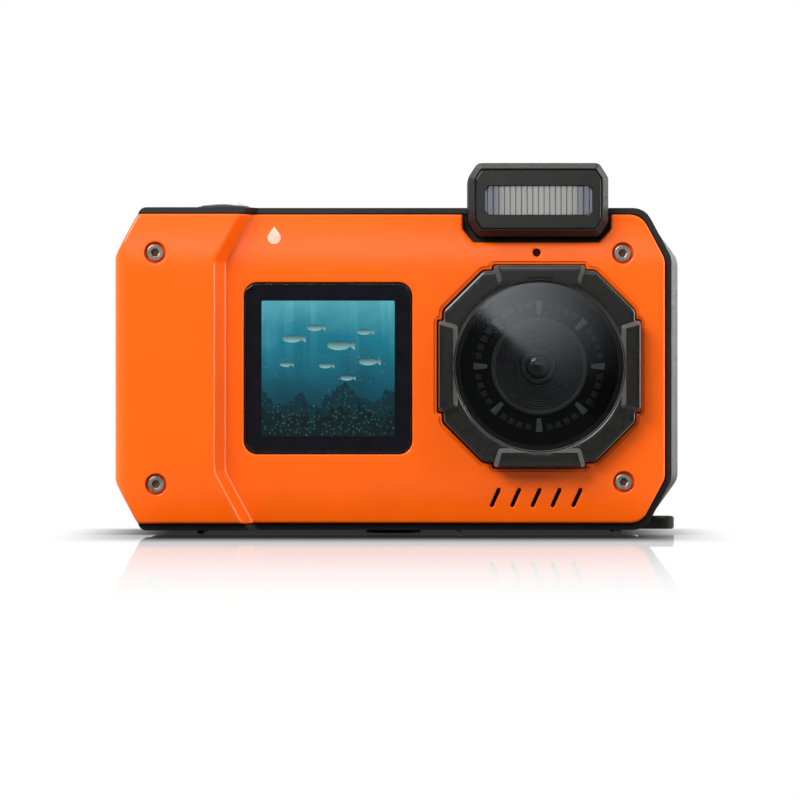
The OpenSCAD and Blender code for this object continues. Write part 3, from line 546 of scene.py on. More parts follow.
def frosted(name):
    """The flash window: milky, with painted light and shade: lighter in its middle, darker and bluer towards
    its ends.
    """
    m = Shader(name, (0.3, 0.3, 0.3), 0.4, Specular_IOR_Level=0.3)
    side = from_middle(m, (FLASH[0], 0, 0), (1, 0, 0))
    # painted light and shade: lighter in the middle, darker and bluer towards the ends
    m.color(m.spread(side, 0, 1, 0, 11.5 * MM), (0.0, (0.3, 0.3, 0.285)), (0.62, (0.27, 0.27, 0.265)),
            (0.8, (0.13, 0.135, 0.16)), (1.0, (0.19, 0.195, 0.23)))
    m.roughness(m.noise(1.2, 3), 0.34, 0.46)
    return m.bump(m.noise(0.6, 2), 0.006).mat


def dark_lens(name):
    """The front element: near black, with painted shade for its darker pupil and two faint rings of painted
    reflection.
    """
    m = Shader(name, (0.01, 0.01, 0.01), 0.12, Specular_IOR_Level=0.5)
    out = from_middle(m, (LENS[0], 0, LENS[1]), (1, 0, 1))
    # painted shade in the pupil and painted reflections in the two lighter rings
    m.color(m.spread(out, 0, 1, 0, 2.6 * MM), (0.0, (0.003, 0.003, 0.003)), (0.4, (0.004, 0.004, 0.004)),
            (0.45, (0.028, 0.028, 0.028)), (0.52, (0.014, 0.0145, 0.0145)), (0.85, (0.018, 0.0185, 0.0185)),
            (0.93, (0.006, 0.006, 0.006)))
    m.roughness(m.noise(3, 2), 0.1, 0.14)
    return m.mat


ORANGE = orange_paint()
BLACK = grained_black("grained_black")
SIDE = grained_black("coarse_black", grain=0.3, depth=0.09, rough=0.5)
SATIN = smooth_black("satin_black", rough=0.17, gloss=0.7, depth=0.001)
FRAME_BLACK = bevelled_black("frame_black")
KEYS = smooth_black("key_black", (0.02, 0.019, 0.018), 0.42, 0.4)
# the warm tint of the screws' steel is a painted reflection of the orange cover round them
STEEL = metal("stainless", (0.42, 0.37, 0.32), 0.3, size=1.5, depth=0.001)
# painted shade for the screw sockets, tinted brown as a painted reflection of the orange cover
SOCKET = smooth_black("socket_painted_shade", (0.09, 0.045, 0.028), 0.35)
BRIGHT = metal("spring_steel", (0.62, 0.62, 0.63), 0.25, (1, 1, 6))
TIN = metal("tin_plate", (0.6, 0.61, 0.63), 0.34, size=1.2)
BRASS = metal("brass", (0.72, 0.5, 0.2), 0.28, (1, 1, 8))
ANODISED = smooth_black("black_anodised", (0.0022, 0.0022, 0.0024), 0.35, 0.03, 0.001)
MIRROR = metal("mirror_film", (0.85, 0.85, 0.86), 0.1)
GLASS = clear_glass("port_glass")
SMOKED = clear_glass("window_glass", (0.35, 0.36, 0.42), 0.12)
DARK_LENS = dark_lens("dark_lens")
COATED = clear_glass("coated_lens", (0.02, 0.026, 0.03), 0.55, 0.05, 0.0)
RUBBER = soft_rubber("rubber")
YELLOW = soft_rubber("yellow_silicone", (0.5, 0.38, 0.06))
BOARD = circuit_board()
FROSTED = frosted("flash_lens")
MARK_GREY = smooth_black("mark_grey", (0.075, 0.076, 0.077), 0.45, 0.2)
MARK_DARK = smooth_black("mark_dark", (0.02, 0.0205, 0.021), 0.45, 0.1)
CONE = smooth_black("cone_black", (0.034, 0.035, 0.035), 0.4, 0.2)
BARREL = smooth_black("barrel_black", (0.018, 0.0185, 0.0185), 0.35, 0.3)
EDGE = smooth_black("glass_edge", (0.07, 0.07, 0.07), 0.4)
PALE = smooth_black("pale_print", (0.75, 0.5, 0.4), 0.4)
LEGEND = smooth_black("legend_print", (0.42, 0.42, 0.41), 0.45)
PRINT = smooth_black("window_print", (0.0095, 0.01, 0.0145), 0.4, 0.03, 0.001)


# ---- Front cover ----

def step_x(z):
    """X of the grip's edge at each height."""
    return -36.8 + LEAN * np.maximum(0, np.maximum(z - (Z_TOP - 11.2), Z_LOW + 12.2 - z))


def soft_step(s, width, blend):
    """0 before a ramp of that width, 1 after it, with its two corners rounded."""
    def corner(x):
        return np.where(x < -blend, 0, np.where(x > blend, x, (x + blend) ** 2 / (4 * blend)))
    return (corner(s) - corner(s - width)) / width


LEDGE_W = 0.62
LEDGE_DEEP = 0.3
SEAT_BACK = 1.75
SOCKET_BACK = 1.2
# Half size, corner cut, growth and corner radius of the cut-out and of the lens frame in it.
FRAME_CUT = (19.95, 8.35, 0.3, 1.7)
FRAME = (19.6, 8.2, 0.0, 1.6)
# Each tab reaches from TAB_IN to TAB_OUT off the port's middle, and widens on the way.
TAB_IN, TAB_OUT = 16.8, 20.7
TAB_HALF_IN, TAB_HALF_OUT = 8.4, 9.55
TAB_SLOPE = (TAB_HALF_OUT - TAB_HALF_IN) / (TAB_OUT - TAB_IN)


def frame_cut(grow):
    """The outline of the cover's cut-out for the lens frame, grown outwards."""
    half, cut, out, r = FRAME_CUT
    return lens_outline(half + grow, cut + grow * 0.4, out + grow, r + grow)


def crown(z):
    """How far the front falls back towards its top and bottom edges."""
    t = np.clip((np.abs(z - Z_MID) - 20.8) / 11, 0, 1.1)
    return 1.1 * t ** 1.8


def cover_height(p):
    """Y of the cover's front at each (x, z)."""
    x, z = p[:, 0], p[:, 1]
    y = GRIP_Y + GRIP_OUT * soft_step(x - step_x(z), 2.2, 0.3) + crown(z)
    r = 2.8
    reach = np.clip(-HALF_W + r - x, 0, r)
    side = GRIP_Y + r - np.sqrt(np.maximum(r * r - reach ** 2, 0))
    y = np.where(reach > 0, np.maximum(y, side + crown(z) * (1 - reach / r)), y)
    near = np.abs(p - LENS).max(axis=1) < 24
    d = edge_distance(p[near], dense(frame_cut(0), 2))
    y[near] += LEDGE_DEEP * np.clip((LEDGE_W - d) / 0.12 + 0.5, 0, 1)
    return y


def cover_back(p):
    """Y of the cover's rear: hollow but for the skirt down its left side."""
    x, z = p[:, 0], p[:, 1]
    y = cover_height(p) + COVER_T
    y = np.minimum(y, FLOOR_Y + crown(z))
    return np.where(x < -HALF_W + 1.8, SKIRT_Y, y)


def body_corners(d):
    return inset(octagon((0, Z_MID), (HALF_W, 33.2), SLOPE), d)


def cover_outline():
    """The cover's outline with the notch under the flash head."""
    b, i = body_corners(0), body_corners(RIM_W)
    low = (-HALF_W + (SLOPE[1] - RIM_W) * LEAN, i[2][1])
    top = (low[0], i[5][1])
    z = top[1]
    notch = [(44.7, z), (44.7, 62.8), (42.2, 60.0), (16.4, 60.0), (14.2, 62.8), (14.2, z)]
    points = [b[0], low, i[2], i[3], i[4], i[5]] + notch + [top, b[7]]
    radii = [4, 1.6, 4, 4, 4, 4, 0.4, 1, 1, 1, 1, 0.4, 1.6, 4]
    return rounded(points, radii, 6)


def lens_outline(half, cut, grow, r):
    """The lens frame's outline: an octagon with a trapezoid tab on each of its four long sides."""
    corners = []
    for a in (180, 270, 0, 90):
        o = TAB_OUT + grow
        w_out = TAB_HALF_OUT + grow
        w_in = w_out - (o - half) * TAB_SLOPE
        side = [(half - cut, half), (w_in, half), (w_out, o), (-w_out, o), (-w_in, half), (-half + cut, half)]
        corners += turned_points(side, LENS, a)
    radii = [r, 0.3, 0.5, 0.5, 0.3, r] * 4
    return rounded(corners, radii, 4)


def slot_outline(x, r=0.41, half=1.74):
    """One slanted slot of the speaker."""
    ends = arc((0, half), r, 0, 180, 8) + arc((0, -half), r, 180, 360, 8)
    return turned_points(ends, (x, SLOT_Z), -24)


def screw_face(q):
    """Y of the cover's front around a screw."""
    return GRIP_Y if q[0] < step_x(np.array([q[1]]))[0] else FACE_Y


def front_cover():
    """The orange cover: openings for the screen, lens frame, microphone, speaker and screws, a
    bent step beside the grip, a rounded left side, and a ledge round the lens frame's cut-out."""
    window = rounded(rect(WINDOW, 34.7, 35.4), 2.85, 8)
    holes = [window, frame_cut(0), circle(MIC, 0.82, 28)]
    holes += [slot_outline(x) for x in SLOT_X]
    holes += [circle(q, 2.2, 48) for q in SCREWS]
    edges = [0.55, 0.3, 0.2, 0.2] + [0.16] * len(SLOT_X) + [0.22] * len(SCREWS)
    z = np.arange(Z_LOW, Z_TOP, 0.7)
    lines = [np.stack([step_x(z) + d, z], axis=1) for d in (-0.3, 0, 0.3, 1.1, 1.9, 2.2, 2.5)]
    for k in (10, 25, 40, 55, 70, 85):
        x = -HALF_W + 2.8 * (1 - math.cos(math.radians(k)))
        lines.append(np.stack([np.full(len(z), x), z], axis=1))
    lines += [dense(frame_cut(LEDGE_W + d), 0.45) for d in (-0.06, 0.06)]
    plate = relief(cover_outline(), holes, cover_height, cover_back, edges, 1.1, lines, 0.6)
    seats = []
    for q in SCREWS:
        y = screw_face(q) + SEAT_BACK
        seats.append(turned([(1.2, y), (2.22, y), (2.22, y + 0.5), (1.2, y + 0.5)], q, n=48))
    cover = make("front_cover_shell", *joined(plate, *seats), ORANGE, slot="orange_paint", smooth=40)
    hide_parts("front_cover")


# ---- Lens port ----

FRAME_Y = -17.2
TAB_Y = -18.6
TAB_BEVEL = 0.9
BORE_R = 17.62
DIAL_Y = -14.6


def tab_rise(p):
    """How far each point is up the bevel of a tab, from 0 on the frame's face to 1 on the tab's."""
    best = np.zeros(len(p))
    for a in (0, 90, 180, 270):
        r = math.radians(a)
        x = (p[:, 0] - LENS[0]) * math.cos(r) + (p[:, 1] - LENS[1]) * math.sin(r)
        z = -(p[:, 0] - LENS[0]) * math.sin(r) + (p[:, 1] - LENS[1]) * math.cos(r)
        side = (TAB_HALF_IN + (z - TAB_IN) * TAB_SLOPE - np.abs(x)) / math.hypot(1, TAB_SLOPE)
        best = np.maximum(best, np.clip(np.minimum(z - TAB_IN, side) / TAB_BEVEL, 0, 1))
    return best


def tab_lines():
    """The two edges of each tab's bevel: its foot on the frame's face, and its top."""
    stretch = math.hypot(1, TAB_SLOPE)
    lines, step, end = [], 0.35, TAB_OUT - 0.15
    for d in (0.0, TAB_BEVEL):
        near = TAB_HALF_IN + d * (TAB_SLOPE - stretch)
        far = TAB_HALF_IN + (end - TAB_IN) * TAB_SLOPE - d * stretch
        for a in (0, 90, 180, 270):
            path = [(far, end), (near, TAB_IN + d), (-near, TAB_IN + d), (-far, end)]
            closing = int(2 * far / step) + 1
            lines.append(dense(turned_points(path, LENS, a), step)[:-closing])
    return lines


def lens_bezel():
    """The octagonal frame with its raised tabs, and the ledge behind the glass."""
    plate = relief(lens_outline(*FRAME), [circle(LENS, BORE_R, 160)],
                   lambda p: FRAME_Y + (TAB_Y - FRAME_Y) * tab_rise(p),
                   level(FLOOR_Y), [0.42, 0.3], 0.9, tab_lines(), 0.4)
    inner, outer, front = 16.3, BORE_R + 0.05, -15.0
    ledge = [(inner, front), (outer, front), (outer, FLOOR_Y), (inner, FLOOR_Y)]
    parts = joined(plate, turned(ledge, LENS, n=160))
    bezel = make("lens_bezel_frame", *parts, FRAME_BLACK, slot="smooth_black", smooth=28)
    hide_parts("lens_bezel")


def lens_glass():
    """The port's flat glass, with a ground and polished edge."""
    r = 17.5
    glass = turned([(0, -16.9), (r - 0.3, -16.9), (r, -16.6), (r, -15.02), (0, -15.02)], LENS, n=160)
    piece = make("port_glass_disc", *glass, GLASS, slot="port_glass", smooth=12)
    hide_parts("lens_glass")
    rim = arc((r - 0.1, -16.9), 0.09, 180, 360, 6) + [(r - 0.01, -16.8), (r - 0.19, -16.8)]
    edge = turned(rim, LENS, n=160)
    make("port_glass_edge", *edge, EDGE, slot="dark_metal")


def dial():
    """The ring behind the glass: a stepped plate with long pale marks and short raised ones."""
    y = DIAL_Y
    rings = [(9.95, -12.0), (9.95, y - 0.12), (10.07, y - 0.25), (10.3, y - 0.25), (10.42, y - 0.1)]
    rings += [(10.55, y + 0.25), (11.6, y + 0.25), (11.75, y + 0.1), (13.5, y + 0.1), (13.6, y)]
    rings += [(16.2, y), (16.2, -12.0)]
    ring = make("dial_plate", *turned(rings, LENS, n=160), ANODISED, slot="dark_metal")
    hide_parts("dial_ring")
    shape = [(-0.42, 10.65), (0.42, 10.65), (0.74, 13.5), (-0.74, 13.5)]
    long_mark = rounded(shape, [0.3, 0.3, 0.12, 0.12], 4)
    short_mark = rounded([(-0.6, 12.0), (0.6, 12.0), (0.66, 13.3), (-0.66, 13.3)], 0.16, 3)
    longs, shorts = [], []
    for k in range(8):
        at = turned_points(long_mark, LENS, 45 * k)
        longs.append(relief(at, [], level(y - 0.3), level(y + 0.2), [0.14], 0.5, (), 0.3))
        for m in (-1.5, -0.5, 0.5, 1.5):
            at = turned_points(short_mark, LENS, 45 * k + 22.5 + 8.4 * m)
            shorts.append(relief(at, [], level(y - 0.06), level(y + 0.3), [0.2], 0.5, (), 0.25))
    marks = make("dial_long_marks", *joined(*longs), MARK_GREY, slot="grey_marks")
    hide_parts("dial_marks")
    make("dial_short_marks", *joined(*shorts), MARK_DARK, slot="dark_metal")


def ribbed_cone():
    """The funnel behind the dial, with a groove for each step of its wall."""
    front, deep, outer, inner, ribs = -14.7, 5.0, 9.4, 3.75, 11
    profile = [(13, -9.6), (9.85, -9.6), (9.85, front), (outer + 0.1, front)]
    pitch_r, pitch_y = (outer - 0.2 - inner) / ribs, deep / ribs
    for k in range(ribs):
        r, y = outer - 0.2 - pitch_r * k, front + 0.25 + pitch_y * k
        profile += [(r, y + 0.03), (r - 0.03, y), (r - pitch_r * 0.5, y + 0.02),
                    (r - pitch_r * 0.72, y + pitch_y + 0.45)]
    profile += [(inner, front + 0.25 + deep), (inner, -8.5), (13, -8.5)]
    cone = make("ribbed_cone", *turned(profile, LENS, n=144), CONE, slot="dark_metal", smooth=20)
    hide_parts("lens_cone")


def barrel_and_element():
    """The lens barrel at the funnel's end, with a rolled lip, and the domed element in it."""
    barrel = [(2.6, -7.3), (2.6, -9.45)] + arc((2.75, -9.45), 0.15, 180, 270, 3) + [(3.1, -9.6)]
    barrel += arc((3.45, -9.45), 0.15, 270, 360, 3)
    barrel += [(3.6, -8.4), (9, -8.4), (9, 1.2), (3.5, 1.2), (3.5, -7.0), (1.15, -7.0), (1.15, -7.3)]
    tube = make("lens_barrel_tube", *turned(barrel, LENS, n=96), BARREL, slot="dark_metal")
    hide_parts("lens_barrel")
    angles = [math.radians(a) for a in range(0, 91, 9)]
    dome = [(2.55 * math.sin(a), -8.3 - math.cos(a)) for a in angles] + [(2.55, -7.32), (0, -7.32)]
    lens = make("front_lens_element", *turned(dome, LENS, n=96), DARK_LENS, slot="lens_coat")
    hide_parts("front_element")


# ---- Front screen ----

SCREEN_W, SCREEN_H = 27.4, 27.9


def stretched_noise(m, size_mm, detail, squeeze, lean=0.0, move=0.0, **settings):
    """Noise drawn out along Z, and leaning about Y by some degrees."""
    place = m.node("ShaderNodeMapping")
    place.inputs["Rotation"].default_value = (0, math.radians(lean), 0)
    place.inputs["Scale"].default_value = (1, 1, squeeze)
    place.inputs["Location"].default_value = (move, 0, 0)
    m.link(m.coords, place.inputs["Vector"])
    n = m.node("ShaderNodeTexNoise", Scale=1 / (size_mm * MM), Detail=detail, **settings)
    m.link(place.outputs["Vector"], n.inputs["Vector"])
    return n.outputs["Fac"]


def water(m, v):
    """Deep blue below, pale above, with slanting rays of light."""
    depth = m.calc("ADD", v, m.calc("MULTIPLY", m.calc("SUBTRACT", m.noise(9, 4), 0.5), 0.35))
    blue = m.ramp(m.spread(depth, 0, 1, -0.5, 0.5), (0.0, (0.001, 0.014, 0.022)), (0.35, (0.003, 0.07, 0.11)),
                  (0.7, (0.008, 0.19, 0.27)), (1.0, (0.09, 0.4, 0.48)))
    rays = m.spread(stretched_noise(m, 2.2, 2.0, 0.07, 24), 0, 1, 0.5, 0.75)
    rays = m.calc("MULTIPLY", rays, m.spread(v, 0, 0.6, -0.1, 0.5))
    return m.mix(m.spread(rays, 0, 0.45, 0, 1), blue, (0.18, 0.5, 0.52), "ADD")


def coral_bank(m, picture, v, size, level, low, high):
    """A jagged bank along the bottom, speckled between two colours."""
    ridge = stretched_noise(m, size, 5.0, 0.25, move=size, Roughness=0.6)
    top = m.calc("ADD", level, m.calc("MULTIPLY", m.calc("SUBTRACT", ridge, 0.5), 0.75))
    mask = m.calc("MULTIPLY", m.calc("SUBTRACT", top, v), 60, True)
    return m.mix(mask, picture, m.ramp(m.cells(0.75), (0.05, high), (0.42, low)))


def fish(m, picture, u, v, x, z, a, b):
    """An oval body with half axes a and b at (x, z), pale below, and a tail on its right."""
    du, dv = m.calc("SUBTRACT", u, x), m.calc("SUBTRACT", v, z)
    along, across = m.calc("DIVIDE", du, a), m.calc("DIVIDE", dv, b)
    oval = m.calc("ADD", m.calc("POWER", along, 2), m.calc("POWER", across, 2))
    back = m.calc("DIVIDE", m.calc("SUBTRACT", du, a * 0.8), a * 0.55)
    spread = m.calc("ABSOLUTE", m.calc("DIVIDE", dv, b * 0.95))
    fin = m.calc("ADD", spread, m.calc("SUBTRACT", 1.0, back))
    tail = m.calc("MULTIPLY", m.calc("LESS_THAN", fin, 1.0), m.calc("LESS_THAN", back, 1.0))
    body = m.calc("MULTIPLY", m.calc("SUBTRACT", 1.0, oval), 6, True)
    tone = m.mix(m.spread(dv, 0, 1, -b, b), (0.34, 0.62, 0.6), (0.002, 0.04, 0.07))
    shape = m.calc("MAXIMUM", body, tail)
    return m.mix(m.calc("MULTIPLY", shape, 0.9), picture, tone)


# Each fish's middle and half axes, as shares of the picture's width and height from its middle.
SHOAL = [(-0.27, 0.22, 0.075, 0.03), (-0.1, 0.3, 0.06, 0.024), (0.08, 0.17, 0.09, 0.036),
         (0.27, 0.27, 0.055, 0.022), (0.3, 0.05, 0.07, 0.028), (-0.02, 0.02, 0.05, 0.02),
         (-0.32, 0.03, 0.045, 0.018), (0.14, -0.07, 0.05, 0.02)]


def reef_picture():
    """A lit picture of a reef under water, with rays of light, a shoal and drifting specks."""
    m = Shader("reef_picture", (0.01, 0.02, 0.02), 0.3)
    split = m.node("ShaderNodeSeparateXYZ")
    m.link(m.coords, split.inputs[0])
    u = m.calc("DIVIDE", m.calc("SUBTRACT", split.outputs["X"], WINDOW[0] * MM), SCREEN_W * MM)
    v = m.calc("DIVIDE", m.calc("SUBTRACT", split.outputs["Z"], WINDOW[1] * MM), SCREEN_H * MM)
    picture = water(m, v)
    picture = coral_bank(m, picture, v, 7, -0.2, (0.001, 0.02, 0.03), (0.006, 0.07, 0.085))
    picture = coral_bank(m, picture, v, 4, -0.3, (0.0004, 0.004, 0.006), (0.03, 0.1, 0.085))
    for one in SHOAL:
        picture = fish(m, picture, u, v, *one)
    speck = m.calc("LESS_THAN", m.cells(1.3), 0.075)
    picture = m.mix(m.calc("MULTIPLY", speck, 0.35), picture, (0.5, 0.9, 0.9))
    m.link(picture, m.bsdf.inputs["Emission Color"])
    m.set("Emission Strength", 1.15)
    m.set("Specular IOR Level", 0.05)
    return m.mat


def front_screen():
    """The window: a glass plate over a printed black frame and the lit panel."""
    y = FACE_Y + 0.1
    outline = rounded(rect(WINDOW, 34.3, 35.0), 2.7, 8)
    picture = rounded(rect(WINDOW, SCREEN_W, SCREEN_H), 0.25, 3)
    glass = relief(outline, [], level(y), level(y + 0.8), [0.25], 4, (), 0.6)
    piece = make("front_window_glass", *glass, SMOKED, slot="window_glass", smooth=12)
    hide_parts("front_window")
    mask = relief(outline, [picture], level(y + 0.82), level(FLOOR_Y), [0.1, 0.0], 4, (), 0.6)
    make("front_window_print", *mask, PRINT, slot="smooth_black")
    low, high = node_box("front_panel")
    shown = rounded(rect(WINDOW, SCREEN_W - 0.02, SCREEN_H - 0.02), 0.2, 2)
    panel = relief(shown, [], level(y + 0.86), level(FLOOR_Y), [0.05], 3, (), 2)
    plate = rounded(rect(WINDOW, 30.4, 31.0), 0.4, 3)
    back = relief(plate, [], level(FLOOR_Y), level(high[1]), [0.1], 6, (), 3)
    lit = make("front_screen_panel", *joined(panel, back), reef_picture(), slot="reef_screen")
    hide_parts("front_panel")


def socket_floors():
    """A dark hexagon at the bottom of each cover screw's socket: painted shade, warmed by a painted reflection
    of the orange round it.
    """
    corners = [(0.84 * math.cos(a), 0.84 * math.sin(a)) for a in np.arange(6) * math.pi / 3]
    floors = []
    for q in SCREWS:
        y = screw_face(q) + SOCKET_BACK
        hexagon = turned_points(corners, q, 0)
        floors.append(relief(hexagon, [], level(y), level(y + 0.1), [0.05], 0.5, (), 0.3))
    make("screw_socket_floors", *joined(*floors), SOCKET, slot="steel")


def microphone_felt():
    felt = turned([(0, -12.4), (0.5, -12.38), (0.68, -12.3), (0.68, -11.9), (0, -11.9)], MIC, n=32)
    make("microphone_felt", *felt, RUBBER, slot="rubber")


def drop_mark():
    """A plain drop printed on the cover."""
    middle, r, tip, lift = (-24.6, 61.0), 1.35, 2.3, 0.05
    half = math.degrees(math.asin(r / tip))
    drop = arc(middle, r, 180 - half, 360 + half, 20) + [(middle[0], middle[1] + tip)]
    badge = relief(drop, [], lambda p: cover_height(p) - lift, lambda p: cover_height(p) + 0.1,
                   [0.04], 0.6, (), 0.25)
    make("water_drop_mark", *badge, PALE, slot="grey_marks")


def shutter_spring():
    """The wire spring round the shutter's stem, built at its resting length; the button closes it up as it
    goes down, which is not modelled here.
    """
    low, high = node_box("shutter_spring")
    middle, room, travel = (low + high) / 2, high[2] - low[2], 1.0
    wire, turns, steps, sides = 0.22, 3, 40, 8
    coil, count = (high[0] - low[0]) / 2 - wire, steps * turns
    verts, faces = [], []
    for j in range(count + 1):
        a = 2 * math.pi * j / steps
        z = low[2] + wire + (room - 2 * wire) * j / count
        for k in range(sides):
            b = 2 * math.pi * k / sides
            r = coil + wire * math.cos(b)
            verts.append((middle[0] + r * math.cos(a), middle[1] + r * math.sin(a), z + wire * math.sin(b)))
    for j in range(count):
        for k in range(sides):
            a, b = j * sides + k, j * sides + (k + 1) % sides
            faces.append((a, a + sides, b + sides, b))
    faces.append(tuple(range(sides)))
    faces.append(tuple(reversed(range(count * sides, (count + 1) * sides))))
    spring = make("shutter_spring_wire", verts, faces, BRIGHT, slot="spring_steel", smooth=60)
    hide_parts("shutter_spring")
    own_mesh(spring)


def print_on(name, key, outlines):
    """Marks on a rear key's face, from (outline, holes) pairs. They move with the key."""
    top = node_box(key)[1][1]
    marks = []
    for outer, holes in outlines:
        sharp = [0.0] * (1 + len(holes))
        marks.append(relief(outer, holes, level(top - 0.2), level(top + 0.03), sharp, 0.5, (), 0.25))
    make(name, *joined(*marks), LEGEND, body=key, slot="grey_marks")


def key_marks():
    """Printed pictures on the rear keys: arrows, a ring, play, menu bars, a frame and two screens."""
    arrow = [(-1.1, -0.55), (1.1, -0.55), (0, 0.85)]
    pad, from_pad = centre("key_ok"), 7.7
    for key, turn in (("key_right", -90), ("key_up", 0), ("key_left", 90), ("key_down", 180)):
        at = pad + from_pad * np.array([-math.sin(math.radians(turn)), math.cos(math.radians(turn))])
        print_on(key + "_arrow", key, [(turned_points(arrow, at, turn), [])])
    print_on("ok_ring", "key_ok", [(circle(pad, 1.5, 40), [circle(pad, 1.15, 40)])])
    play = centre("key_play")
    print_on("play_mark", "key_play", [(turned_points(arrow, play, 90), [])])
    menu = centre("key_menu")
    print_on("menu_bars", "key_menu", [(rect(menu + (0, d), 2.4, 0.4), []) for d in (-0.85, 0, 0.85)])
    mode = centre("key_mode")
    print_on("mode_frame", "key_mode", [(rounded(rect(mode, 2.8, 2.0), 0.4, 4), [circle(mode, 0.62, 24)])])
    screen = centre("key_screen")
    large, small = rect(screen + (0.75, 0), 1.2, 1.6), rect(screen - (0.85, 0), 0.9, 0.9)
    print_on("screen_pair", "key_screen", [(large, []), (small, [])])


# ---- CAD nodes that keep their shape ----

def refine(name, material, bevel=0.0):
    """Gives a CAD node its material and rounds its edges by bevel millimetres."""
    obj = NODES[name]
    obj.data.materials.clear()
    obj.data.materials.append(material)
    if bevel > 0:
        weld = obj.modifiers.new("weld", "WELD")
        weld.merge_threshold = 2e-6
        flat = obj.modifiers.new("flat", "DECIMATE")
        flat.decimate_type = "DISSOLVE"
        flat.angle_limit = math.radians(0.8)
        edge = obj.modifiers.new("edge", "BEVEL")
        edge.width = bevel * MM
        edge.segments = 2
        edge.limit_method = "ANGLE"
        edge.angle_limit = math.radians(30)
        edge.harden_normals = False
        edge.use_clamp_overlap = True


# ---- Studio ----

class Nodes:
    """Builds the shaders of the studio, which aren't part of the object."""

    def __init__(self, tree):
        self.tree = tree
        self.coords = tree.nodes.new("ShaderNodeTexCoord")

    def add(self, kind, *inputs, **settings):
        n = self.tree.nodes.new("ShaderNode" + kind)
        for key, value in settings.items():
            setattr(n, key, value)
        for socket, value in zip(n.inputs, inputs):
            if hasattr(value, "links"):
                self.tree.links.new(value, socket)
            elif value is not None:
                socket.default_value = value
        return n

    def math(self, operation, *inputs):
        return self.add("Math", *inputs, operation=operation).outputs[0]

    def span(self, value, from_low, from_high, low, high, smooth=False):
        kind = "SMOOTHSTEP" if smooth else "LINEAR"
        return self.add("MapRange", value, from_low, from_high, low, high, interpolation_type=kind).outputs[0]


def stage_material(name):
    m = bpy.data.materials.new(name)
    m.use_nodes = True
    m.node_tree.nodes.clear()
    return m, Nodes(m.node_tree)


def contact_shadow(n, split):
    """Dark under the object, fading past its ends and its front, and sooner behind it."""
    x, y = split.outputs["X"], split.outputs["Y"]
    sooner = n.math("MULTIPLY", n.math("MAXIMUM", y, 0.0), 0.95)
    aside, off = n.math("ABSOLUTE", x), n.math("ADD", n.math("ABSOLUTE", y), sooner)
    shadow = n.math("MULTIPLY", n.span(aside, 0.046, 0.0705, 1, 0, True), 0.97)
    return n.math("MULTIPLY", n.span(off, 0.034, 0.078, 1, 0, True), shadow)


def floor_mirror(n, split, seen):
    """A faint mirror in front of the object only, weaker with distance and when seen from above."""
    distance = n.add("VectorMath", n.coords.outputs["Object"], operation="LENGTH").outputs["Value"]
    mirror = n.math("MULTIPLY", n.span(distance, 0.02, 0.36, 0.42, 0.0, True), seen)
    mirror = n.math("MULTIPLY", mirror, n.span(split.outputs["Y"], -0.024, -0.014, 1.0, 0.0))
    grazing = n.add("LayerWeight", 0.5).outputs["Facing"]
    return n.math("MULTIPLY", mirror, n.span(grazing, 0.6, 0.95, 0.1, 1.0, True))


def make_floor():
    """A white floor with a contact shadow and a faint mirror image, clear from below. It lights the
    object less than it shows, but for a strip in front that brightens the cover's lower edge."""
    bpy.ops.mesh.primitive_plane_add(size=1.5, location=(0, 0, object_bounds()[0][2] - 0.00002))
    floor = bpy.context.object
    floor.name = "floor"
    m, n = stage_material("floor_white")
    split = n.add("SeparateXYZ", n.coords.outputs["Object"])
    shadow = contact_shadow(n, split)
    ahead = n.span(split.outputs["Y"], -0.15, 0.0, 0.12, 1.0, True)
    from_strip = n.math("ABSOLUTE", n.math("ADD", split.outputs["Y"], 0.2))
    to_object = n.math("ADD", ahead, n.span(from_strip, 0.02, 0.06, 0.45, 0.0))
    seen = n.add("LightPath").outputs["Is Camera Ray"]
    white = n.add("Mix", seen, None, to_object, 1.0).outputs[0]
    lit = n.math("MULTIPLY", white, n.math("SUBTRACT", 1.0, shadow))
    glow = n.add("Emission", (1, 1, 1, 1), lit)
    gloss = n.add("BsdfGlossy", (1, 1, 1, 1), 0.02)
    mixed = n.add("MixShader", floor_mirror(n, split, seen), glow.outputs[0], gloss.outputs[0])
    under = n.add("NewGeometry").outputs["Backfacing"]
    one_sided = n.add("MixShader", under, mixed.outputs[0], n.add("BsdfTransparent").outputs[0])
    n.add("OutputMaterial", one_sided.outputs[0])
    floor.data.materials.append(m)


def make_world():
    """White all round, but dark towards -Y, where a studio's camera and its operator stand."""
    world = bpy.data.worlds.new("studio")
    world.use_nodes = True
    world.node_tree.nodes.clear()
    n = Nodes(world.node_tree)
    split = n.add("SeparateXYZ", n.coords.outputs["Generated"])
    room = n.span(split.outputs["Y"], -0.93, -0.55, 0.02, 0.78, True)
    room = n.math("ADD", room, n.span(split.outputs["Y"], 0.3, 0.9, 0.0, 0.22))
    seen = n.add("LightPath").outputs["Is Camera Ray"]
    bright = n.add("Mix", seen, None, room, 1.0)
    back = n.add("Background", (1, 1, 1, 1), bright.outputs[0])
    n.add("OutputWorld", back.outputs[0])
    bpy.context.scene.world = world


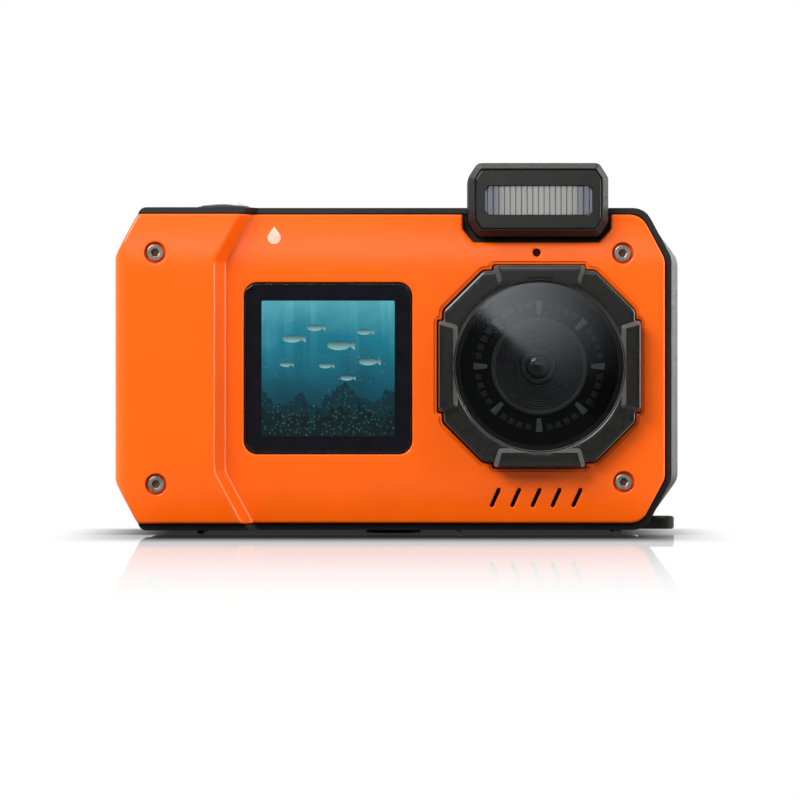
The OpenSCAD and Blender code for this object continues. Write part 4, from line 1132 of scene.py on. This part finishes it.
def make_wedge():
    """A soft panel behind the camera, whose slanting edge shows in the port glass."""
    corner, along, across = Vector((0.0424, -1.5, 0.0745)), Vector((-0.72, 0, 0.69)), Vector((0.69, 0, 0.72))
    low, high = corner - along * 0.12, corner + along * 0.5
    mesh = bpy.data.meshes.new("soft_panel")
    mesh.from_pydata([low, low + across * 0.4, high + across * 0.4, high], [], [(0, 1, 2, 3)])
    obj = bpy.data.objects.new("soft_panel", mesh)
    bpy.context.scene.collection.objects.link(obj)
    m, n = stage_material("soft_panel")
    split = n.add("SeparateXYZ", n.coords.outputs["Object"])
    fall = n.span(split.outputs["X"], 0.04, 0.12, 0.95, 0.04, True)
    rise = n.span(split.outputs["Z"], 0.03, 0.075, 0.05, 1.0, True)
    glow = n.add("Emission", (1, 1, 1, 1), n.math("MULTIPLY", fall, rise))
    n.add("OutputMaterial", glow.outputs[0])
    mesh.materials.append(m)
    obj.visible_camera = False
    obj.visible_diffuse = False
    obj.visible_shadow = False


def make_lights():
    middle = Vector((0, 0, 0.035))
    for name, place, size, watts in (
            ("key", (-0.6, -0.75, 0.7), (0.8, 0.5), 15),
            ("front_top", (-0.05, -0.98, 0.25), (1.3, 0.08), 1.0),
            ("right", (1.1, -0.2, 0.35), (0.5, 0.8), 9.5),
            ("right_rear", (0.65, 0.95, 0.25), (0.7, 0.7), 6),
            ("behind", (-0.3, 1.0, 0.7), (0.9, 0.6), 6)):
        light = bpy.data.lights.new(name, "AREA")
        light.shape = "RECTANGLE"
        light.size, light.size_y = size
        light.energy = watts
        obj = bpy.data.objects.new(name, light)
        obj.location = place
        obj.rotation_euler = (middle - Vector(place)).to_track_quat("-Z", "Y").to_euler()
        bpy.context.scene.collection.objects.link(obj)


def make_camera():
    """The photograph's view: square on, level, from a metre away, with the front filling its width."""
    distance, seen_width = 1.0, 0.1645
    aim = Vector((0.0013, 0.0, 0.0276))
    camera = bpy.data.cameras.new("camera_view")
    camera.sensor_width = 36
    camera.lens = camera.sensor_width * (distance + FACE_Y * MM) / seen_width
    obj = bpy.data.objects.new("camera_view", camera)
    obj.location = aim - Vector((0, distance, 0))
    obj.rotation_euler = Vector((0, 1, 0)).to_track_quat("-Z", "Y").to_euler()
    bpy.context.scene.collection.objects.link(obj)
    bpy.context.scene.camera = obj


CARRIED = {
    "cover_screws": (STEEL, 0.08), "front_case": (BLACK, 0.25), "rear_case": (SIDE, 0.3),
    "case_gasket": (RUBBER, 0), "case_screws": (STEEL, 0.08), "lens_seal": (RUBBER, 0),
    "rear_element": (COATED, 0), "image_sensor": (MIRROR, 0), "sensor_board": (BOARD, 0),
    "flash_housing": (BLACK, 0.15), "flash_plate": (SATIN, 0.06), "flash_lens": (FROSTED, 0),
    "flash_reflector": (MIRROR, 0), "flash_tube": (GLASS, 0), "flash_capacitor": (RUBBER, 0),
    "shutter_button": (SATIN, 0), "shutter_seal": (RUBBER, 0),
    "power_button": (SATIN, 0), "zoom_rocker": (KEYS, 0.1), "rocker_pin": (BRIGHT, 0),
    "key_up": (KEYS, 0.1), "key_down": (KEYS, 0.1), "key_left": (KEYS, 0.1), "key_right": (KEYS, 0.1),
    "key_ok": (KEYS, 0), "key_mode": (KEYS, 0), "key_play": (KEYS, 0), "key_menu": (KEYS, 0),
    "key_screen": (KEYS, 0), "key_mat": (RUBBER, 0), "dome_switches": (TIN, 0),
    "rear_window": (SMOKED, 0), "rear_panel": (SATIN, 0), "display_frame": (TIN, 0.1),
    "main_board": (BOARD, 0), "board_shield": (TIN, 0.1), "battery_bay": (BLACK, 0.1),
    "battery": (SATIN, 0.1), "card_socket": (TIN, 0.1), "memory_card": (SATIN, 0), "usb_port": (TIN, 0),
    "battery_door": (SIDE, 0.12), "door_gasket": (YELLOW, 0), "hinge_pin": (BRIGHT, 0),
    "door_latch": (KEYS, 0.08), "speaker": (ANODISED, 0.1), "microphone": (TIN, 0),
    "tripod_insert": (BRASS, 0.1), "base_pads": (RUBBER, 0.1),
}
for part, (look, edge_mm) in CARRIED.items():
    refine(part, look, edge_mm)
front_cover()
lens_bezel()
lens_glass()
dial()
ribbed_cone()
barrel_and_element()
front_screen()
socket_floors()
microphone_felt()
drop_mark()
shutter_spring()
key_marks()
make_floor()
make_world()
make_wedge()
make_lights()
make_camera()
bpy.context.scene.view_settings.view_transform = "Standard"
